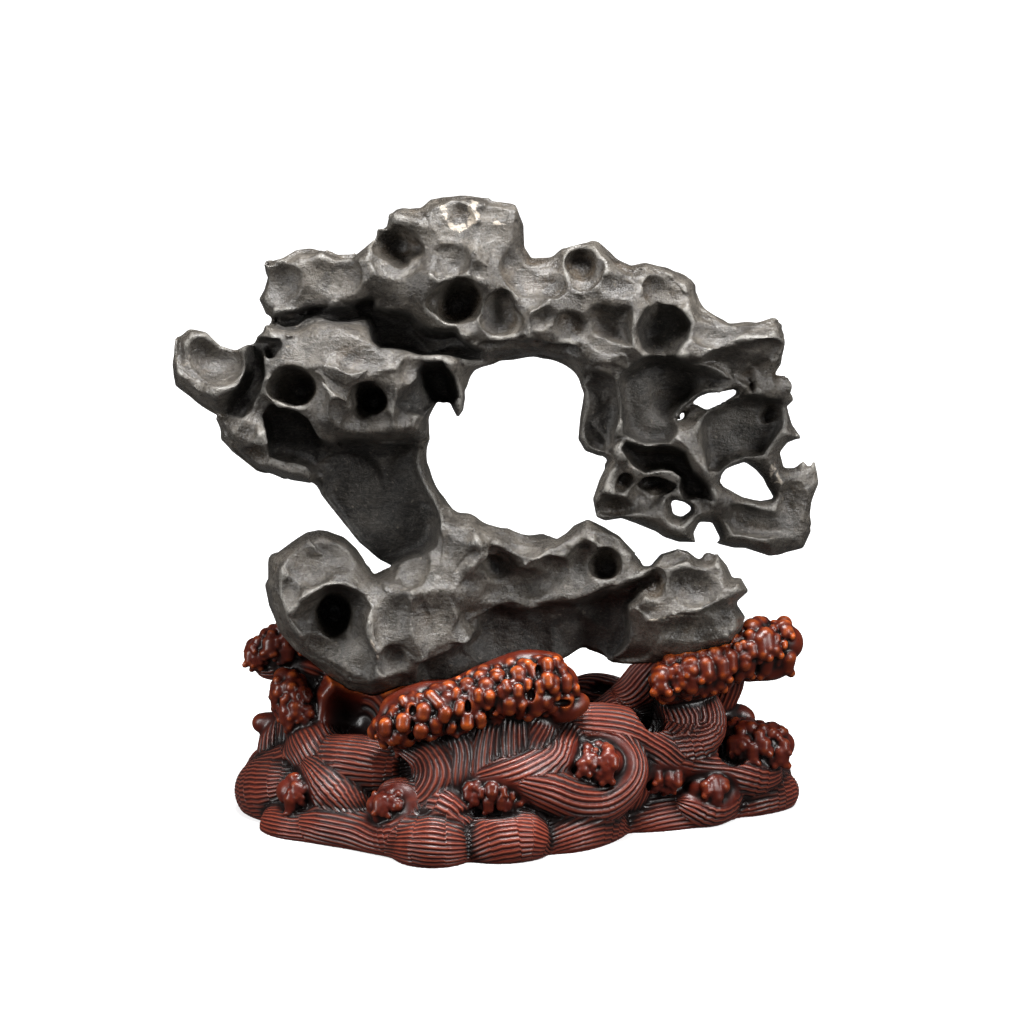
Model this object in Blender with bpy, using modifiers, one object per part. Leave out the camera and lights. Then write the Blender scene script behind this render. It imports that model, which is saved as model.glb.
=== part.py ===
"""Scholars' rock on a carved stand.

The rock is one natural stone: a ring of hollowed, ridged limestone. The stand is one carved
block of hardwood: a base of rolling waves that rise into cresting heads of foam around the rock.

Places are given in millimetres on a front drawing of the rock: u runs to the right, v runs up
the sheet, and f is the distance forward of the rock's middle plane. The sheet leans back by
SHEET_LEAN, so a front view from that height shows the drawing. Z = 0 is the flat underside.
"""
import math

import bmesh
import bpy
import numpy as np
from mathutils import Matrix, Vector, noise
from mathutils.bvhtree import BVHTree

MM = 0.001
SHEET_LEAN = math.radians(15)
SIN_LEAN, COS_LEAN = math.sin(SHEET_LEAN), math.cos(SHEET_LEAN)
SHEET_TO_WORLD = Matrix.Rotation(math.pi / 2 - SHEET_LEAN, 4, "X")

# ---- driving dimensions, in millimetres ----
SEAT_GAP = 1.9            # clearance between the rock and the wood that holds it
ROCK_GRAIN = 2.4          # size of the smallest step kept on the rock's body
STAND_GRAIN = 2.4         # the same, on the stand
OUTLINE_SLAB = 7.0        # half thickness of a lobe's plate before it is swelled
ROCK_ROUGHNESS = 1.3      # height of the rock's broad unevenness
ROUGHNESS_PITCH = 19.0    # distance between two of its swells
SCOOP_LIFT = 0.5          # how far a scoop's centre stands off the face, of its depth
PIT_LIFT = 0.1            # the same, for a deep pit
ROCK_TRIANGLES = 5500
STAND_TRIANGLES = 4400
FLAT_WITHIN = 0.4         # corners this near the underside are set flush with it

# ---- the rock: outlines of its lobes on the sheet (u, v) ----
UPPER = [(-150, 299), (-155, 309), (-152, 315), (-150, 322), (-151, 330), (-139, 333), (-131, 338),
         (-115, 339), (-107, 334), (-98, 334), (-91, 340), (-85, 346), (-84, 352), (-77, 352),
         (-77, 360), (-67, 363), (-56, 362), (-50, 367), (-34, 369), (-10, 367), (1, 365), (6, 353),
         (6, 340), (11, 333), (20, 334), (27, 340), (48, 343), (59, 332), (68, 327), (77, 329),
         (90, 326), (104, 321), (107, 317), (106, 309), (111, 300), (120, 297), (118, 285), (97, 272),
         (60, 262), (37, 266), (30, 270), (10, 275), (-10, 273), (-25, 267), (-30, 262), (-36, 285),
         (-50, 290), (-63, 299), (-86, 309), (-110, 305), (-143, 300)]
SLIT_BACK = [(-145, 309), (-120, 316), (-60, 318), (-34, 300), (-38, 268), (-120, 266), (-148, 286)]
LEFT = [(-204, 270), (-202, 285), (-194, 292), (-184, 290), (-176, 282), (-167, 280), (-159, 284),
        (-152, 290), (-150, 295), (-138, 293), (-130, 292), (-120, 296), (-107, 297), (-90, 292),
        (-75, 285), (-60, 281), (-48, 286), (-38, 284), (-30, 272), (-29, 250), (-30, 242), (-35, 235),
        (-40, 245), (-46, 246), (-50, 238), (-52, 225), (-60, 222), (-85, 222), (-106, 222),
        (-111, 214), (-118, 205), (-121, 197), (-135, 199), (-145, 203), (-155, 206), (-171, 218),
        (-177, 225), (-177, 231), (-180, 239), (-173, 239), (-180, 242), (-190, 248), (-202, 258)]
RIGHT = [(38, 266), (52, 290), (85, 310), (104, 310), (111, 300), (120, 297), (126, 293), (138, 294),
         (147, 295), (153, 297), (159, 294), (162, 283), (160, 275), (159, 270), (155, 264), (161, 261),
         (167, 249), (163, 245), (166, 234), (173, 226), (164, 222), (160, 217), (162, 210), (167, 210),
         (173, 215), (176, 211), (180, 215), (182, 199), (178, 187), (177, 180), (179, 170), (174, 159),
         (160, 155), (152, 154), (137, 159), (131, 159), (116, 162), (121, 166), (117, 174), (111, 174),
         (108, 169), (110, 162), (98, 162), (88, 165), (83, 169), (63, 176), (53, 175), (47, 178),
         (44, 190), (48, 201), (54, 213), (48, 214), (40, 217), (35, 225), (37, 238),
         (39, 254)]
WINDOW_HIGH = [(97, 238), (98, 241), (106, 248), (111, 251), (120, 251), (130, 254), (131, 253),
               (124, 249), (115, 245), (105, 240)]
WINDOW_WIDE = [(123, 200), (127, 206), (131, 208), (137, 210), (143, 206), (147, 201), (149, 197),
               (153, 191), (147, 190), (137, 192), (126, 198)]
WINDOW_SMALL = [(95, 187), (96, 182), (99, 181), (102, 183), (103, 184), (100, 186)]
NECK = [(-118, 216), (-123, 202), (-118, 191), (-106, 176), (-95, 162), (-83, 152), (-75, 148),
        (-75, 130), (-40, 130), (-30, 165), (-26, 177), (-35, 180), (-41, 188), (-48, 200), (-53, 212),
        (-52, 226), (-85, 236)]
BELLY = [(-88, 141), (-82, 146), (-75, 149), (-66, 160), (-55, 173), (-46, 180), (-36, 176),
         (-26, 177), (-17, 172), (-5, 170), (0, 168), (0, 150), (-4, 135), (-10, 121), (-25, 118),
         (-12, 104), (-18, 92), (-30, 83), (-44, 76), (-56, 73), (-66, 73), (-73, 74), (-86, 75),
         (-100, 80), (-100, 120)]
CURL = [(-80, 138), (-86, 147), (-90, 155), (-95, 162), (-103, 168), (-113, 172), (-118, 173),
        (-126, 171), (-136, 165), (-149, 155), (-149, 137), (-147, 125), (-140, 110), (-131, 99),
        (-114, 86), (-105, 80), (-96, 76), (-86, 75), (-75, 77), (-70, 100)]
LOWER = [(-40, 160), (-30, 175), (-17, 171), (0, 168), (8, 167), (21, 169), (24, 167), (30, 171),
         (34, 175), (43, 179), (54, 174), (63, 169), (72, 159), (76, 151), (80, 151), (86, 158),
         (97, 162), (104, 160), (110, 155), (115, 154), (121, 159), (128, 151), (131, 144), (136, 144),
         (142, 134), (135, 127), (140, 119), (136, 110), (128, 101), (110, 95), (90, 91), (66, 92),
         (56, 92), (48, 96), (40, 101), (33, 98), (22, 91), (6, 87), (-10, 86), (-25, 89), (-34, 98)]

# a lobe: outline, openings through it, width of its rounded edge, and its middle and half
# thickness at a few places (u, v, f of the middle, half thickness)
LOBES = [
    (UPPER, [], 16, [(-130, 318, -12, 20), (-90, 322, -4, 25), (-40, 355, -10, 20), (-35, 320, 0, 31),
                     (10, 300, 2, 33), (60, 305, -2, 31), (100, 305, -8, 26), (20, 335, -8, 22)]),
    (SLIT_BACK, [], 8, [(-130, 290, -13, 15), (-50, 290, -10, 18)]),
    (LEFT, [], 18, [(-195, 270, 2, 19), (-170, 250, 8, 27), (-140, 235, 12, 33), (-100, 250, 16, 37),
                    (-60, 250, 12, 34), (-40, 275, 8, 32), (-135, 285, 12, 28), (-35, 250, 8, 24)]),
    (RIGHT, [WINDOW_HIGH, WINDOW_WIDE, WINDOW_SMALL], 13,
     [(60, 290, 0, 31), (100, 290, 0, 31), (140, 285, 6, 26), (60, 240, 2, 31), (100, 220, 0, 28),
      (150, 240, -10, 22), (60, 195, 14, 26), (90, 195, 4, 26), (165, 185, -12, 16),
      (176, 210, -14, 10), (140, 172, -4, 22), (120, 275, 0, 28)]),
    (NECK, [], 16, [(-85, 200, -10, 22), (-60, 170, -4, 28)]),
    (BELLY, [], 20, [(-75, 110, 14, 38), (-45, 130, 14, 37), (-30, 160, 4, 30), (-10, 150, 0, 28)]),
    (CURL, [], 22, [(-115, 125, 18, 37), (-120, 155, 8, 31), (-90, 100, 16, 38)]),
    (LOWER, [], 15, [(-20, 150, 2, 30), (20, 140, 2, 29), (60, 140, 8, 28), (100, 130, 10, 30),
                     (60, 105, 0, 28), (-10, 110, -6, 22), (125, 120, 6, 28)]),
]

# recesses sunk in the rock's face: outline, width of the rounded wall, and the middle and half
# thickness of what is taken out at a few places, as for a lobe
ALCOVES = [
    ([(-149, 297), (-141, 300), (-124, 302), (-105, 305), (-91, 307), (-86, 307), (-85, 303),
      (-72, 301), (-63, 297), (-58, 292), (-43, 288), (-37, 287), (-32, 282), (-22, 278), (-22, 274),
      (-33, 274), (-43, 275), (-53, 277), (-68, 278), (-80, 280), (-84, 284), (-86, 292), (-89, 296),
      (-99, 295), (-115, 298), (-122, 296), (-132, 291), (-139, 292), (-144, 295)], 4,
     [(-130, 297, 20, 28), (-90, 298, 20, 29), (-60, 288, 20, 28), (-30, 278, 20, 24)]),
    ([(-157, 285), (-150, 285), (-141, 284), (-139, 280), (-143, 274), (-146, 274), (-149, 278),
      (-150, 272), (-151, 261), (-153, 253), (-157, 243), (-163, 239), (-172, 241), (-169, 247),
      (-164, 255), (-161, 266), (-159, 278)], 5, [(-155, 270, 26, 20), (-160, 245, 26, 18)]),
    ([(-144, 244), (-130, 243), (-122, 237), (-116, 226), (-110, 222), (-99, 223), (-84, 222),
      (-61, 223), (-57, 210), (-52, 190), (-46, 174), (-48, 163), (-58, 156), (-72, 151), (-82, 151),
      (-96, 161), (-107, 175), (-115, 189), (-116, 205), (-125, 210), (-136, 212), (-146, 217),
      (-150, 226), (-149, 238)], 7, [(-88, 206, 24, 29), (-100, 180, 24, 29), (-136, 230, 28, 19),
                        (-62, 172, 26, 26), (-54, 200, 26, 24)]),
    ([(-58, 266), (-53, 270), (-43, 269), (-37, 261), (-36, 251), (-39, 246), (-47, 246), (-54, 239),
      (-64, 241), (-69, 247), (-64, 255), (-59, 261)], 6, [(-47, 256, 34, 30), (-62, 247, 40, 12)]),
    ([(74, 292), (76, 301), (83, 308), (94, 304), (102, 294), (101, 285), (96, 277), (90, 272),
      (82, 273), (76, 280)], 9, [(88, 290, 31, 25)]),
    ([(42, 297), (45, 303), (52, 307), (60, 303), (67, 301), (69, 292), (67, 282), (57, 282),
      (45, 288)], 9, [(57, 294, 35, 14)]),
    ([(63, 260), (65, 266), (74, 272), (82, 274), (94, 274), (107, 269), (121, 265), (131, 261),
      (121, 256), (111, 254), (101, 246), (96, 238), (94, 229), (90, 223), (77, 224), (65, 228),
      (63, 238)], 7, [(93, 250, 26, 30), (72, 250, 28, 18), (117, 262, 30, 20), (88, 228, 28, 18)]),
    ([(38, 267), (48, 264), (59, 261), (61, 256), (60, 238), (58, 222), (52, 218), (43, 221),
      (40, 230), (41, 245)], 6, [(50, 245, 34, 18)]),
    ([(97, 272), (111, 272), (128, 281), (143, 284), (160, 281), (151, 271), (145, 255), (143, 250),
      (134, 256), (121, 265), (107, 269)], 8,
     [(142, 279, 32, 8), (142, 260, 34, 26), (115, 269, 32, 16)]),
    ([(67, 222), (82, 221), (101, 217), (107, 206), (116, 196), (117, 189), (106, 189), (99, 190),
      (97, 197), (100, 204), (94, 207), (77, 206), (69, 212), (64, 218)], 5,
     [(85, 213, 30, 22), (108, 197, 28, 20)]),
    ([(55, 191), (69, 190), (85, 190), (92, 187), (89, 181), (82, 178), (69, 179), (56, 180),
      (52, 186)], 5, [(68, 185, 38, 12)]),
    ([(117, 244), (128, 248), (144, 250), (158, 249), (160, 244), (158, 231), (153, 221), (148, 216),
      (136, 216), (127, 212), (121, 206), (116, 206), (111, 221), (112, 234)], 6,
     [(140, 232, 12, 16), (118, 220, 20, 20)]),
    ([(128, 186), (153, 185), (171, 184), (176, 172), (171, 165), (151, 168), (131, 168),
      (125, 177)], 5, [(150, 176, 18, 12)]),
    ([(-137, 119), (-128, 127), (-113, 137), (-104, 136), (-92, 134), (-88, 125), (-90, 111),
      (-87, 99), (-84, 87), (-86, 81), (-98, 81), (-114, 89), (-128, 103), (-134, 113)], 15,
     [(-107, 121, 52, 27), (-118, 101, 54, 13), (-94, 90, 54, 11), (-95, 128, 50, 16)]),
    ([(-58, 90), (-45, 96), (-33, 102), (-23, 110), (-20, 119), (-11, 125), (6, 123), (18, 125),
      (32, 127), (46, 130), (62, 134), (70, 133), (66, 128), (68, 117), (66, 105), (58, 92), (40, 84),
      (0, 74), (-40, 70), (-60, 76)], 6,
     [(-45, 88, 44, 12), (-10, 110, 30, 20), (20, 110, 28, 22), (55, 112, 28, 27)]),
]

# raised ridges on the rock's face: points (u, v), radius, how far the axis lies under the face
RIDGES = [
    ([(-149, 330), (-138, 331), (-131, 318), (-129, 306)], 4, 2),
    ([(-143, 301), (-128, 303), (-108, 306), (-90, 309)], 5, 1),
    ([(-97, 333), (-90, 320), (-84, 311)], 6, 4),
    ([(-88, 304), (-78, 301), (-68, 304), (-60, 297)], 5, 2),
    ([(-50, 292), (-38, 292), (-29, 288)], 5, 0),
    ([(-52, 342), (-50, 322), (-55, 305), (-50, 293)], 7, 4),
    ([(-24, 338), (-18, 318), (-22, 300), (-14, 286)], 6, 4),
    ([(-10, 283), (2, 288), (5, 300)], 4, 1),
    ([(30, 334), (34, 321), (46, 320), (51, 331)], 4, 1),
    ([(97, 275), (106, 272), (120, 279), (133, 285), (160, 283)], 6, 1),
    ([(69, 303), (71, 292), (70, 281), (76, 273)], 5, 2),
    ([(91, 228), (101, 222), (108, 212), (117, 202), (130, 195)], 5, -1),
    ([(68, 207), (84, 208), (100, 206)], 5, 0),
    ([(100, 190), (115, 194)], 4, 0),
    ([(52, 190), (58, 205), (64, 218)], 6, 1),
    ([(150, 164), (155, 176), (157, 188)], 4, 1),
    ([(128, 252), (140, 246), (146, 240)], 4, 0),
    ([(156, 272), (148, 260), (142, 249)], 5, 0),
    ([(-201, 265), (-194, 257), (-187, 253), (-179, 251)], 4, -2),
    ([(-138, 292), (-120, 296), (-108, 298), (-92, 292), (-76, 283), (-60, 279)], 5, 2),
    ([(-146, 261), (-136, 267), (-124, 267), (-116, 269), (-107, 267), (-97, 262), (-84, 268),
      (-72, 266), (-66, 274), (-58, 277), (-43, 270), (-32, 271)], 5, 1),
    ([(-117, 262), (-108, 248), (-106, 234), (-110, 224)], 6, 2),
    ([(-72, 262), (-70, 248), (-73, 232)], 5, 1),
    ([(-34, 268), (-32, 254), (-35, 242)], 4, 0),
    ([(-108, 224), (-85, 221), (-60, 222)], 4, 1),
    ([(-135, 121), (-126, 131), (-115, 139), (-102, 134)], 4, 1),
    ([(-88, 125), (-87, 106), (-81, 96), (-80, 84)], 5, 2),
    ([(-60, 135), (-66, 122), (-62, 112), (-57, 96)], 5, 2),
    ([(-30, 102), (-24, 112), (-20, 120), (-8, 123), (12, 127), (28, 131), (36, 128)], 5, 1),
    ([(-50, 177), (-37, 171), (-22, 168), (-5, 163), (8, 161), (22, 166)], 4, 1),
    ([(-24, 166), (-20, 156), (-26, 149)], 4, -2),
    ([(-1, 147), (14, 155), (30, 164)], 6, -2),
    ([(42, 161), (50, 168), (62, 166), (69, 157)], 4, 0),
    ([(38, 128), (54, 134), (72, 141), (80, 149)], 4, 0),
    ([(80, 117), (100, 120), (118, 128), (130, 131)], 5, 0),
    ([(76, 149), (79, 138), (77, 126)], 5, 1),
    ([(42, 176), (36, 164), (30, 150)], 4, 2),
]
KNOBS = [(-80, 295, 7, 3), (160, 257, 6, 2), (57, 234, 8, 4), (-60, 279, 7, 4), (107, 240, 7, 4),
         (-30, 288, 5, 1), (115, 155, 4, 1), (63, 217, 6, 2), (124, 114, 9, 5)]

# shallow scoops in the face: u, v, half width, half height, depth, turn in degrees
SCOOPS = [
    (-143, 318, 13, 13, 7, 0), (-114, 322, 17, 14, 5, 0), (-62, 340, 21, 14, 6, 0),
    (-35, 358, 7, 8, 5, 0), (-12, 360, 10, 5, 4, -15), (-66, 338, 16, 12, 6, 0),
    (-9, 350, 12, 17, 4, 0), (5, 326, 10, 12, 4, 0), (-24, 324, 8, 7, 4, 0),
    (20, 318, 9, 8, 4, 0), (65, 318, 14, 8, 4, 0), (92, 314, 13, 9, 4, 0), (-95, 325, 8, 10, 3, 20),
    (33, 291, 10, 9, 7, 0), (16, 296, 7, 6, 5, 0), (120, 290, 12, 7, 3, 0), (145, 230, 14, 13, 9, 0),
    (120, 226, 10, 12, 7, 30),
    (80, 191, 12, 9, 10, 0), (110, 185, 6, 8, 6, 0), (138, 176, 11, 9, 8, 0), (166, 188, 8, 14, 5, 0),
    (152, 262, 7, 8, 3, 0), (100, 265, 8, 7, 4, 0), (75, 240, 8, 10, 6, 0), (-180, 272, 18, 14, 15, -20),
    (-168, 247, 13, 4, 8, 25), (-92, 280, 17, 10, 3, -12), (-60, 266, 8, 8, 5, 0),
    (-64, 241, 8, 13, 8, 0), (-86, 233, 13, 9, 6, 0),
    (-119, 243, 8, 11, 5, 0), (-105, 236, 7, 10, 4, 0), (-156, 240, 12, 9, 5, -20),
    (-165, 228, 9, 7, 3, -30), (-126, 152, 13, 12, 4, 0), (-105, 157, 13, 9, 4, 0),
    (-137, 138, 9, 12, 4, 0), (-75, 116, 10, 18, 6, 0), (-72, 90, 9, 9, 4, 0), (-43, 117, 16, 17, 5, 0),
    (-46, 146, 16, 13, 5, 0), (-64, 152, 9, 14, 5, 20), (0, 136, 17, 8, 5, 10), (18, 143, 12, 8, 5, 20),
    (40, 148, 8, 12, 6, 0), (98, 110, 20, 8, 6, 5), (62, 128, 14, 6, 6, 22), (108, 138, 17, 12, 9, 0),
    (120, 146, 6, 6, 4, 0), (124, 116, 7, 10, 4, 0), (60, 165, 9, 5, 3, -30), (92, 156, 9, 5, 4, 0),
    (-115, 96, 13, 8, 4, -30), (26, 276, 10, 5, 3, 10), (-5, 279, 13, 5, 3, 0), (-45, 230, 6, 12, 4, 0),
    (-135, 208, 14, 6, 4, -10), (8, 312, 10, 9, 4, 0), (100, 300, 10, 7, 3, 0),
]
# deep pits in the face: u, v, half width, half height, depth, turn in degrees
PITS = [
    (-71, 340, 12, 10, 17, 0), (-37, 331, 10, 11, 9, 0), (-36, 306, 13, 12, 24, 0),
    (-9, 298, 10, 12, 10, 0), (40, 329, 8, 8, 13, 0), (86, 290, 10, 10, 10, 0),
    (-131, 255, 12, 10, 24, 0), (-138, 232, 9, 9, 8, 15), (-153, 216, 8, 5, 7, -10),
    (-87, 247, 9, 8.5, 24, 0), (-47, 257, 7, 8, 8, 0), (-76, 287, 6, 5, 6, 0),
    (-107, 121, 11, 13, 37, 0),
    (-10, 149, 10, 6, 8, -35), (55, 149, 9, 8, 15, 0), (54, 130, 20, 2.6, 12, 24),
    (50, 113, 12, 8, 8, 0),
    (84, 138, 6, 8, 12, 0), (94, 251, 7, 10, 8, -20), (79, 230, 2.5, 2.5, 6, 0), (87, 232, 3, 3, 6, 0),
    (64, 199, 5, 6, 10, 0), (58, 184, 10, 4, 14, -10),
    (150, 240, 6, 5, 10, 0), (129, 232, 6, 8, 10, 20), (84, 198, 8, 4, 10, 0),
]
# the same on the rock's back
BACK_SCOOPS = [
    (-180, 270, 15, 13, 8, 0), (-150, 262, 15, 17, 5, 20), (-112, 282, 20, 14, 7, 0),
    (-120, 232, 18, 15, 8, 0),
    (-82, 262, 17, 18, 8, 0), (-62, 232, 13, 12, 6, 0), (-128, 318, 17, 12, 6, 0),
    (-88, 328, 16, 17, 7, 0),
    (-44, 350, 20, 13, 6, 0), (-44, 312, 17, 17, 8, 0), (-4, 336, 14, 22, 6, 0), (-6, 294, 15, 13, 7, 0),
    (32, 320, 16, 12, 6, 0), (36, 286, 16, 13, 7, 0), (76, 312, 18, 11, 6, 0), (80, 280, 17, 15, 8, 0),
    (122, 280, 18, 12, 7, 0), (64, 248, 14, 18, 7, 0), (98, 222, 14, 15, 4, 0), (142, 236, 15, 14, 6, 0),
    (72, 196, 15, 12, 3, 0), (146, 172, 16, 10, 3, 0), (-90, 206, 17, 18, 4, 0), (-62, 172, 17, 16, 5, 0),
    (-120, 146, 17, 15, 6, 0), (-110, 108, 19, 16, 4, 0), (-70, 108, 17, 20, 7, 0),
    (-34, 138, 19, 17, 7, 0),
    (2, 140, 16, 15, 6, 0), (38, 150, 15, 14, 6, 0), (36, 118, 16, 12, 6, 0), (76, 128, 16, 15, 7, 0),
    (110, 132, 17, 14, 7, 0), (100, 108, 14, 9, 5, 0),
]
BACK_PITS = [
    (-138, 262, 9, 9, 10, 0), (-84, 262, 9, 10, 14, 0), (-104, 240, 9, 8, 12, 0), (-90, 330, 8, 9, 14, 0),
    (-20, 318, 10, 9, 18, 0), (58, 302, 10, 9, 18, 0), (120, 276, 8, 7, 14, 0), (66, 262, 8, 9, 14, 0),
    (120, 226, 6, 7, 6, 0), (-76, 188, 8, 9, 6, 0), (-104, 106, 10, 9, 7, 0), (-40, 128, 10, 9, 16, 0),
    (24, 134, 9, 8, 14, 0), (84, 124, 9, 9, 14, 0),
]

# ---- the stand ----
# solid heart of the block: x, height of the middle, f, half width, half height, half depth, turn
CORES = [(-6, 6, -14, 138, 40, 64, -12), (-66, 2, -52, 70, 24, 34, -8), (84, 2, 6, 56, 20, 34, -14),
         (122, 2, -38, 34, 16, 30, -20)]
# the mass the waves stand on, seen from the front, as for a lobe of the rock
MASS = [(-162, 4), (-160, 26), (-152, 37), (-137, 46), (-126, 56), (-123, 74), (-114, 86), (-84, 84),
        (-66, 84), (-40, 84), (10, 86), (26, 76), (40, 60), (56, 50), (68, 56), (76, 70), (92, 76),
        (112, 72), (121, 60), (122, 46), (150, 33), (161, 24), (161, 3), (110, -8), (62, -12),
        (10, -26), (-44, -30), (-90, -22), (-140, -14), (-156, -6)]
MASS_PLACES = [
    (-150, 20, -7, 22), (-128, 40, -4, 34), (-115, 24, -2, 42), (-100, 10, 4, 50), (-92, 30, 2, 47),
    (-98, 58, -14, 27), (-80, -8, 15, 61), (-66, 28, 0, 44), (-45, 25, 11, 61), (-45, -12, 22, 72),
    (0, -12, 18, 68), (-50, 60, 5, 51), (-12, 50, 6, 57), (0, 12, 12, 63), (31, 27, 2, 52),
    (30, 52, -2, 48), (10, 72, 0, 42), (35, 5, 9, 59), (62, 14, 1, 51), (58, 47, -4, 40),
    (80, 58, -17, 23), (90, 38, -5, 34), (104, 60, -13, 24), (84, 20, -2, 38), (90, 0, -8, 32),
    (122, 8, -13, 27), (118, 38, -15, 20), (150, 12, -24, 15), (148, 30, -20, 15),
]
MASS_EDGE = 12
# waves that lie on the floor: points (x, f, height of the axis, radius)
FLOOR_WAVES = [
    [(-122, 24, 26, 12), (-141, 10, 18, 19), (-153, -6, 12, 17)],
    [(-128, -10, 24, 16), (-150, -30, 12, 17)],
    [(-143, 34, 2, 11), (-130, 44, 2, 13), (-108, 52, 2, 12), (-92, 62, 3, 10)],
    [(-66, 86, 6, 10), (-50, 96, 8, 18), (-34, 90, 6, 10)],
    [(-32, 84, 0, 9), (-14, 88, 8, 17), (2, 86, 10, 16), (9, 80, 2, 8)],
    [(12, 75, 2, 10), (28, 66, 8, 18), (44, 52, 8, 17), (58, 40, 1, 8)],
    [(56, 32, 2, 8), (76, 26, 4, 14), (98, 18, 5, 14), (122, 6, 8, 12)],
    [(126, 0, 4, 8), (140, -4, 7, 13), (156, -12, 8, 11), (162, -20, 8, 8)],
    [(138, -10, 22, 12), (148, -22, 20, 14), (154, -40, 8, 13)],
    [(150, -52, 4, 12), (132, -66, 7, 17), (112, -76, 3, 12)],
    [(114, -76, 2, 12), (92, -86, 8, 18), (68, -90, 2, 12)],
    [(68, -88, 4, 12), (44, -92, 8, 18), (20, -92, 2, 12)],
    [(22, -90, 3, 12), (-4, -94, 8, 18), (-28, -92, 2, 12)],
    [(-26, -90, 3, 12), (-52, -90, 8, 18), (-76, -84, 2, 12)],
    [(-74, -84, 3, 12), (-98, -76, 8, 18), (-120, -62, 3, 12)],
    [(-118, -64, 3, 12), (-138, -48, 8, 18), (-152, -28, 3, 12)],
    [(-124, -34, 24, 14), (-84, -58, 30, 18), (-44, -66, 24, 14)],
    [(-44, -62, 34, 14), (-2, -68, 32, 18), (40, -64, 24, 14)],
    [(36, -56, 34, 14), (82, -54, 32, 18), (124, -40, 22, 13)],
]
# waves that rise above them: points (u, v, f, radius)
WAVES = [
    [(-112, 22, 36, 9), (-118, 34, 28, 12), (-126, 46, 16, 9)],
    [(-118, 24, 40, 9), (-106, 14, 46, 15), (-96, 4, 56, 10)],
    [(-116, 32, 28, 9), (-96, 31, 42, 14), (-74, 27, 50, 12), (-62, 28, 54, 8)],
    [(-118, -6, 54, 10), (-98, -9, 64, 10), (-80, -12, 76, 10), (-66, -9, 84, 11), (-59, 1, 82, 9),
     (-64, 12, 78, 7), (-76, 14, 76, 5)],
    [(-64, 44, 64, 8), (-50, 38, 68, 11), (-45, 24, 72, 12), (-52, 10, 78, 10), (-62, 4, 80, 7)],
    [(-50, 5, 82, 7), (-42, 4, 86, 9), (-34, -2, 88, 7)],
    [(-32, 22, 76, 9), (-31, 38, 68, 10), (-36, 50, 66, 9)],
    [(-20, 24, 76, 9), (-18, 40, 68, 10), (-16, 58, 64, 9)],
    [(-6, 26, 74, 9), (-3, 42, 66, 10), (-2, 60, 62, 9)],
    [(8, 28, 70, 9), (10, 44, 62, 10), (14, 60, 58, 9)],
    [(-16, 22, 82, 7), (4, 26, 78, 9), (22, 33, 68, 8), (28, 44, 56, 9)],
    [(6, 20, 82, 7), (20, 16, 76, 10), (36, 10, 68, 10), (52, 9, 60, 9), (64, 18, 54, 8),
     (67, 30, 48, 8), (60, 41, 44, 8), (44, 46, 46, 8), (28, 43, 50, 7)],
    [(26, 52, 46, 9), (44, 52, 40, 12), (62, 50, 34, 12), (78, 42, 30, 10), (92, 34, 26, 8)],
    [(112, 66, 8, 9), (113, 52, 12, 10), (104, 42, 18, 10), (88, 40, 24, 8), (78, 44, 26, 6)],
    [(98, 66, 10, 12), (100, 54, 12, 12), (92, 46, 18, 9)],
    [(104, 30, 20, 8), (120, 27, 12, 10), (138, 24, 4, 11), (150, 25, -4, 9)],
    [(68, 12, 36, 7), (72, 24, 36, 7), (84, 32, 30, 6), (98, 30, 26, 6)],
    [(104, 6, 28, 6), (116, 3, 24, 7), (126, 10, 14, 6), (126, 20, 10, 5)],
    [(-145, 28, -8, 8), (-143, 40, -10, 9), (-141, 52, -12, 8)],
    [(-155, 28, -22, 5), (-148, 32, -20, 5)],
    [(50, 55, -2, 9), (62, 61, 2, 10), (74, 74, 4, 10), (86, 89, 6, 11)],
    [(118, 46, -14, 8), (123, 64, -16, 6), (131, 84, -14, 7)],
    [(38, 72, -42, 7), (50, 70, -40, 10), (64, 67, -36, 10)],
    [(-126, 40, -6, 14), (-126, 60, -6, 13), (-124, 84, -8, 9)],
    [(-152, 88, -14, 5), (-138, 90, -12, 7), (-124, 86, -8, 9)],
]
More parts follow.
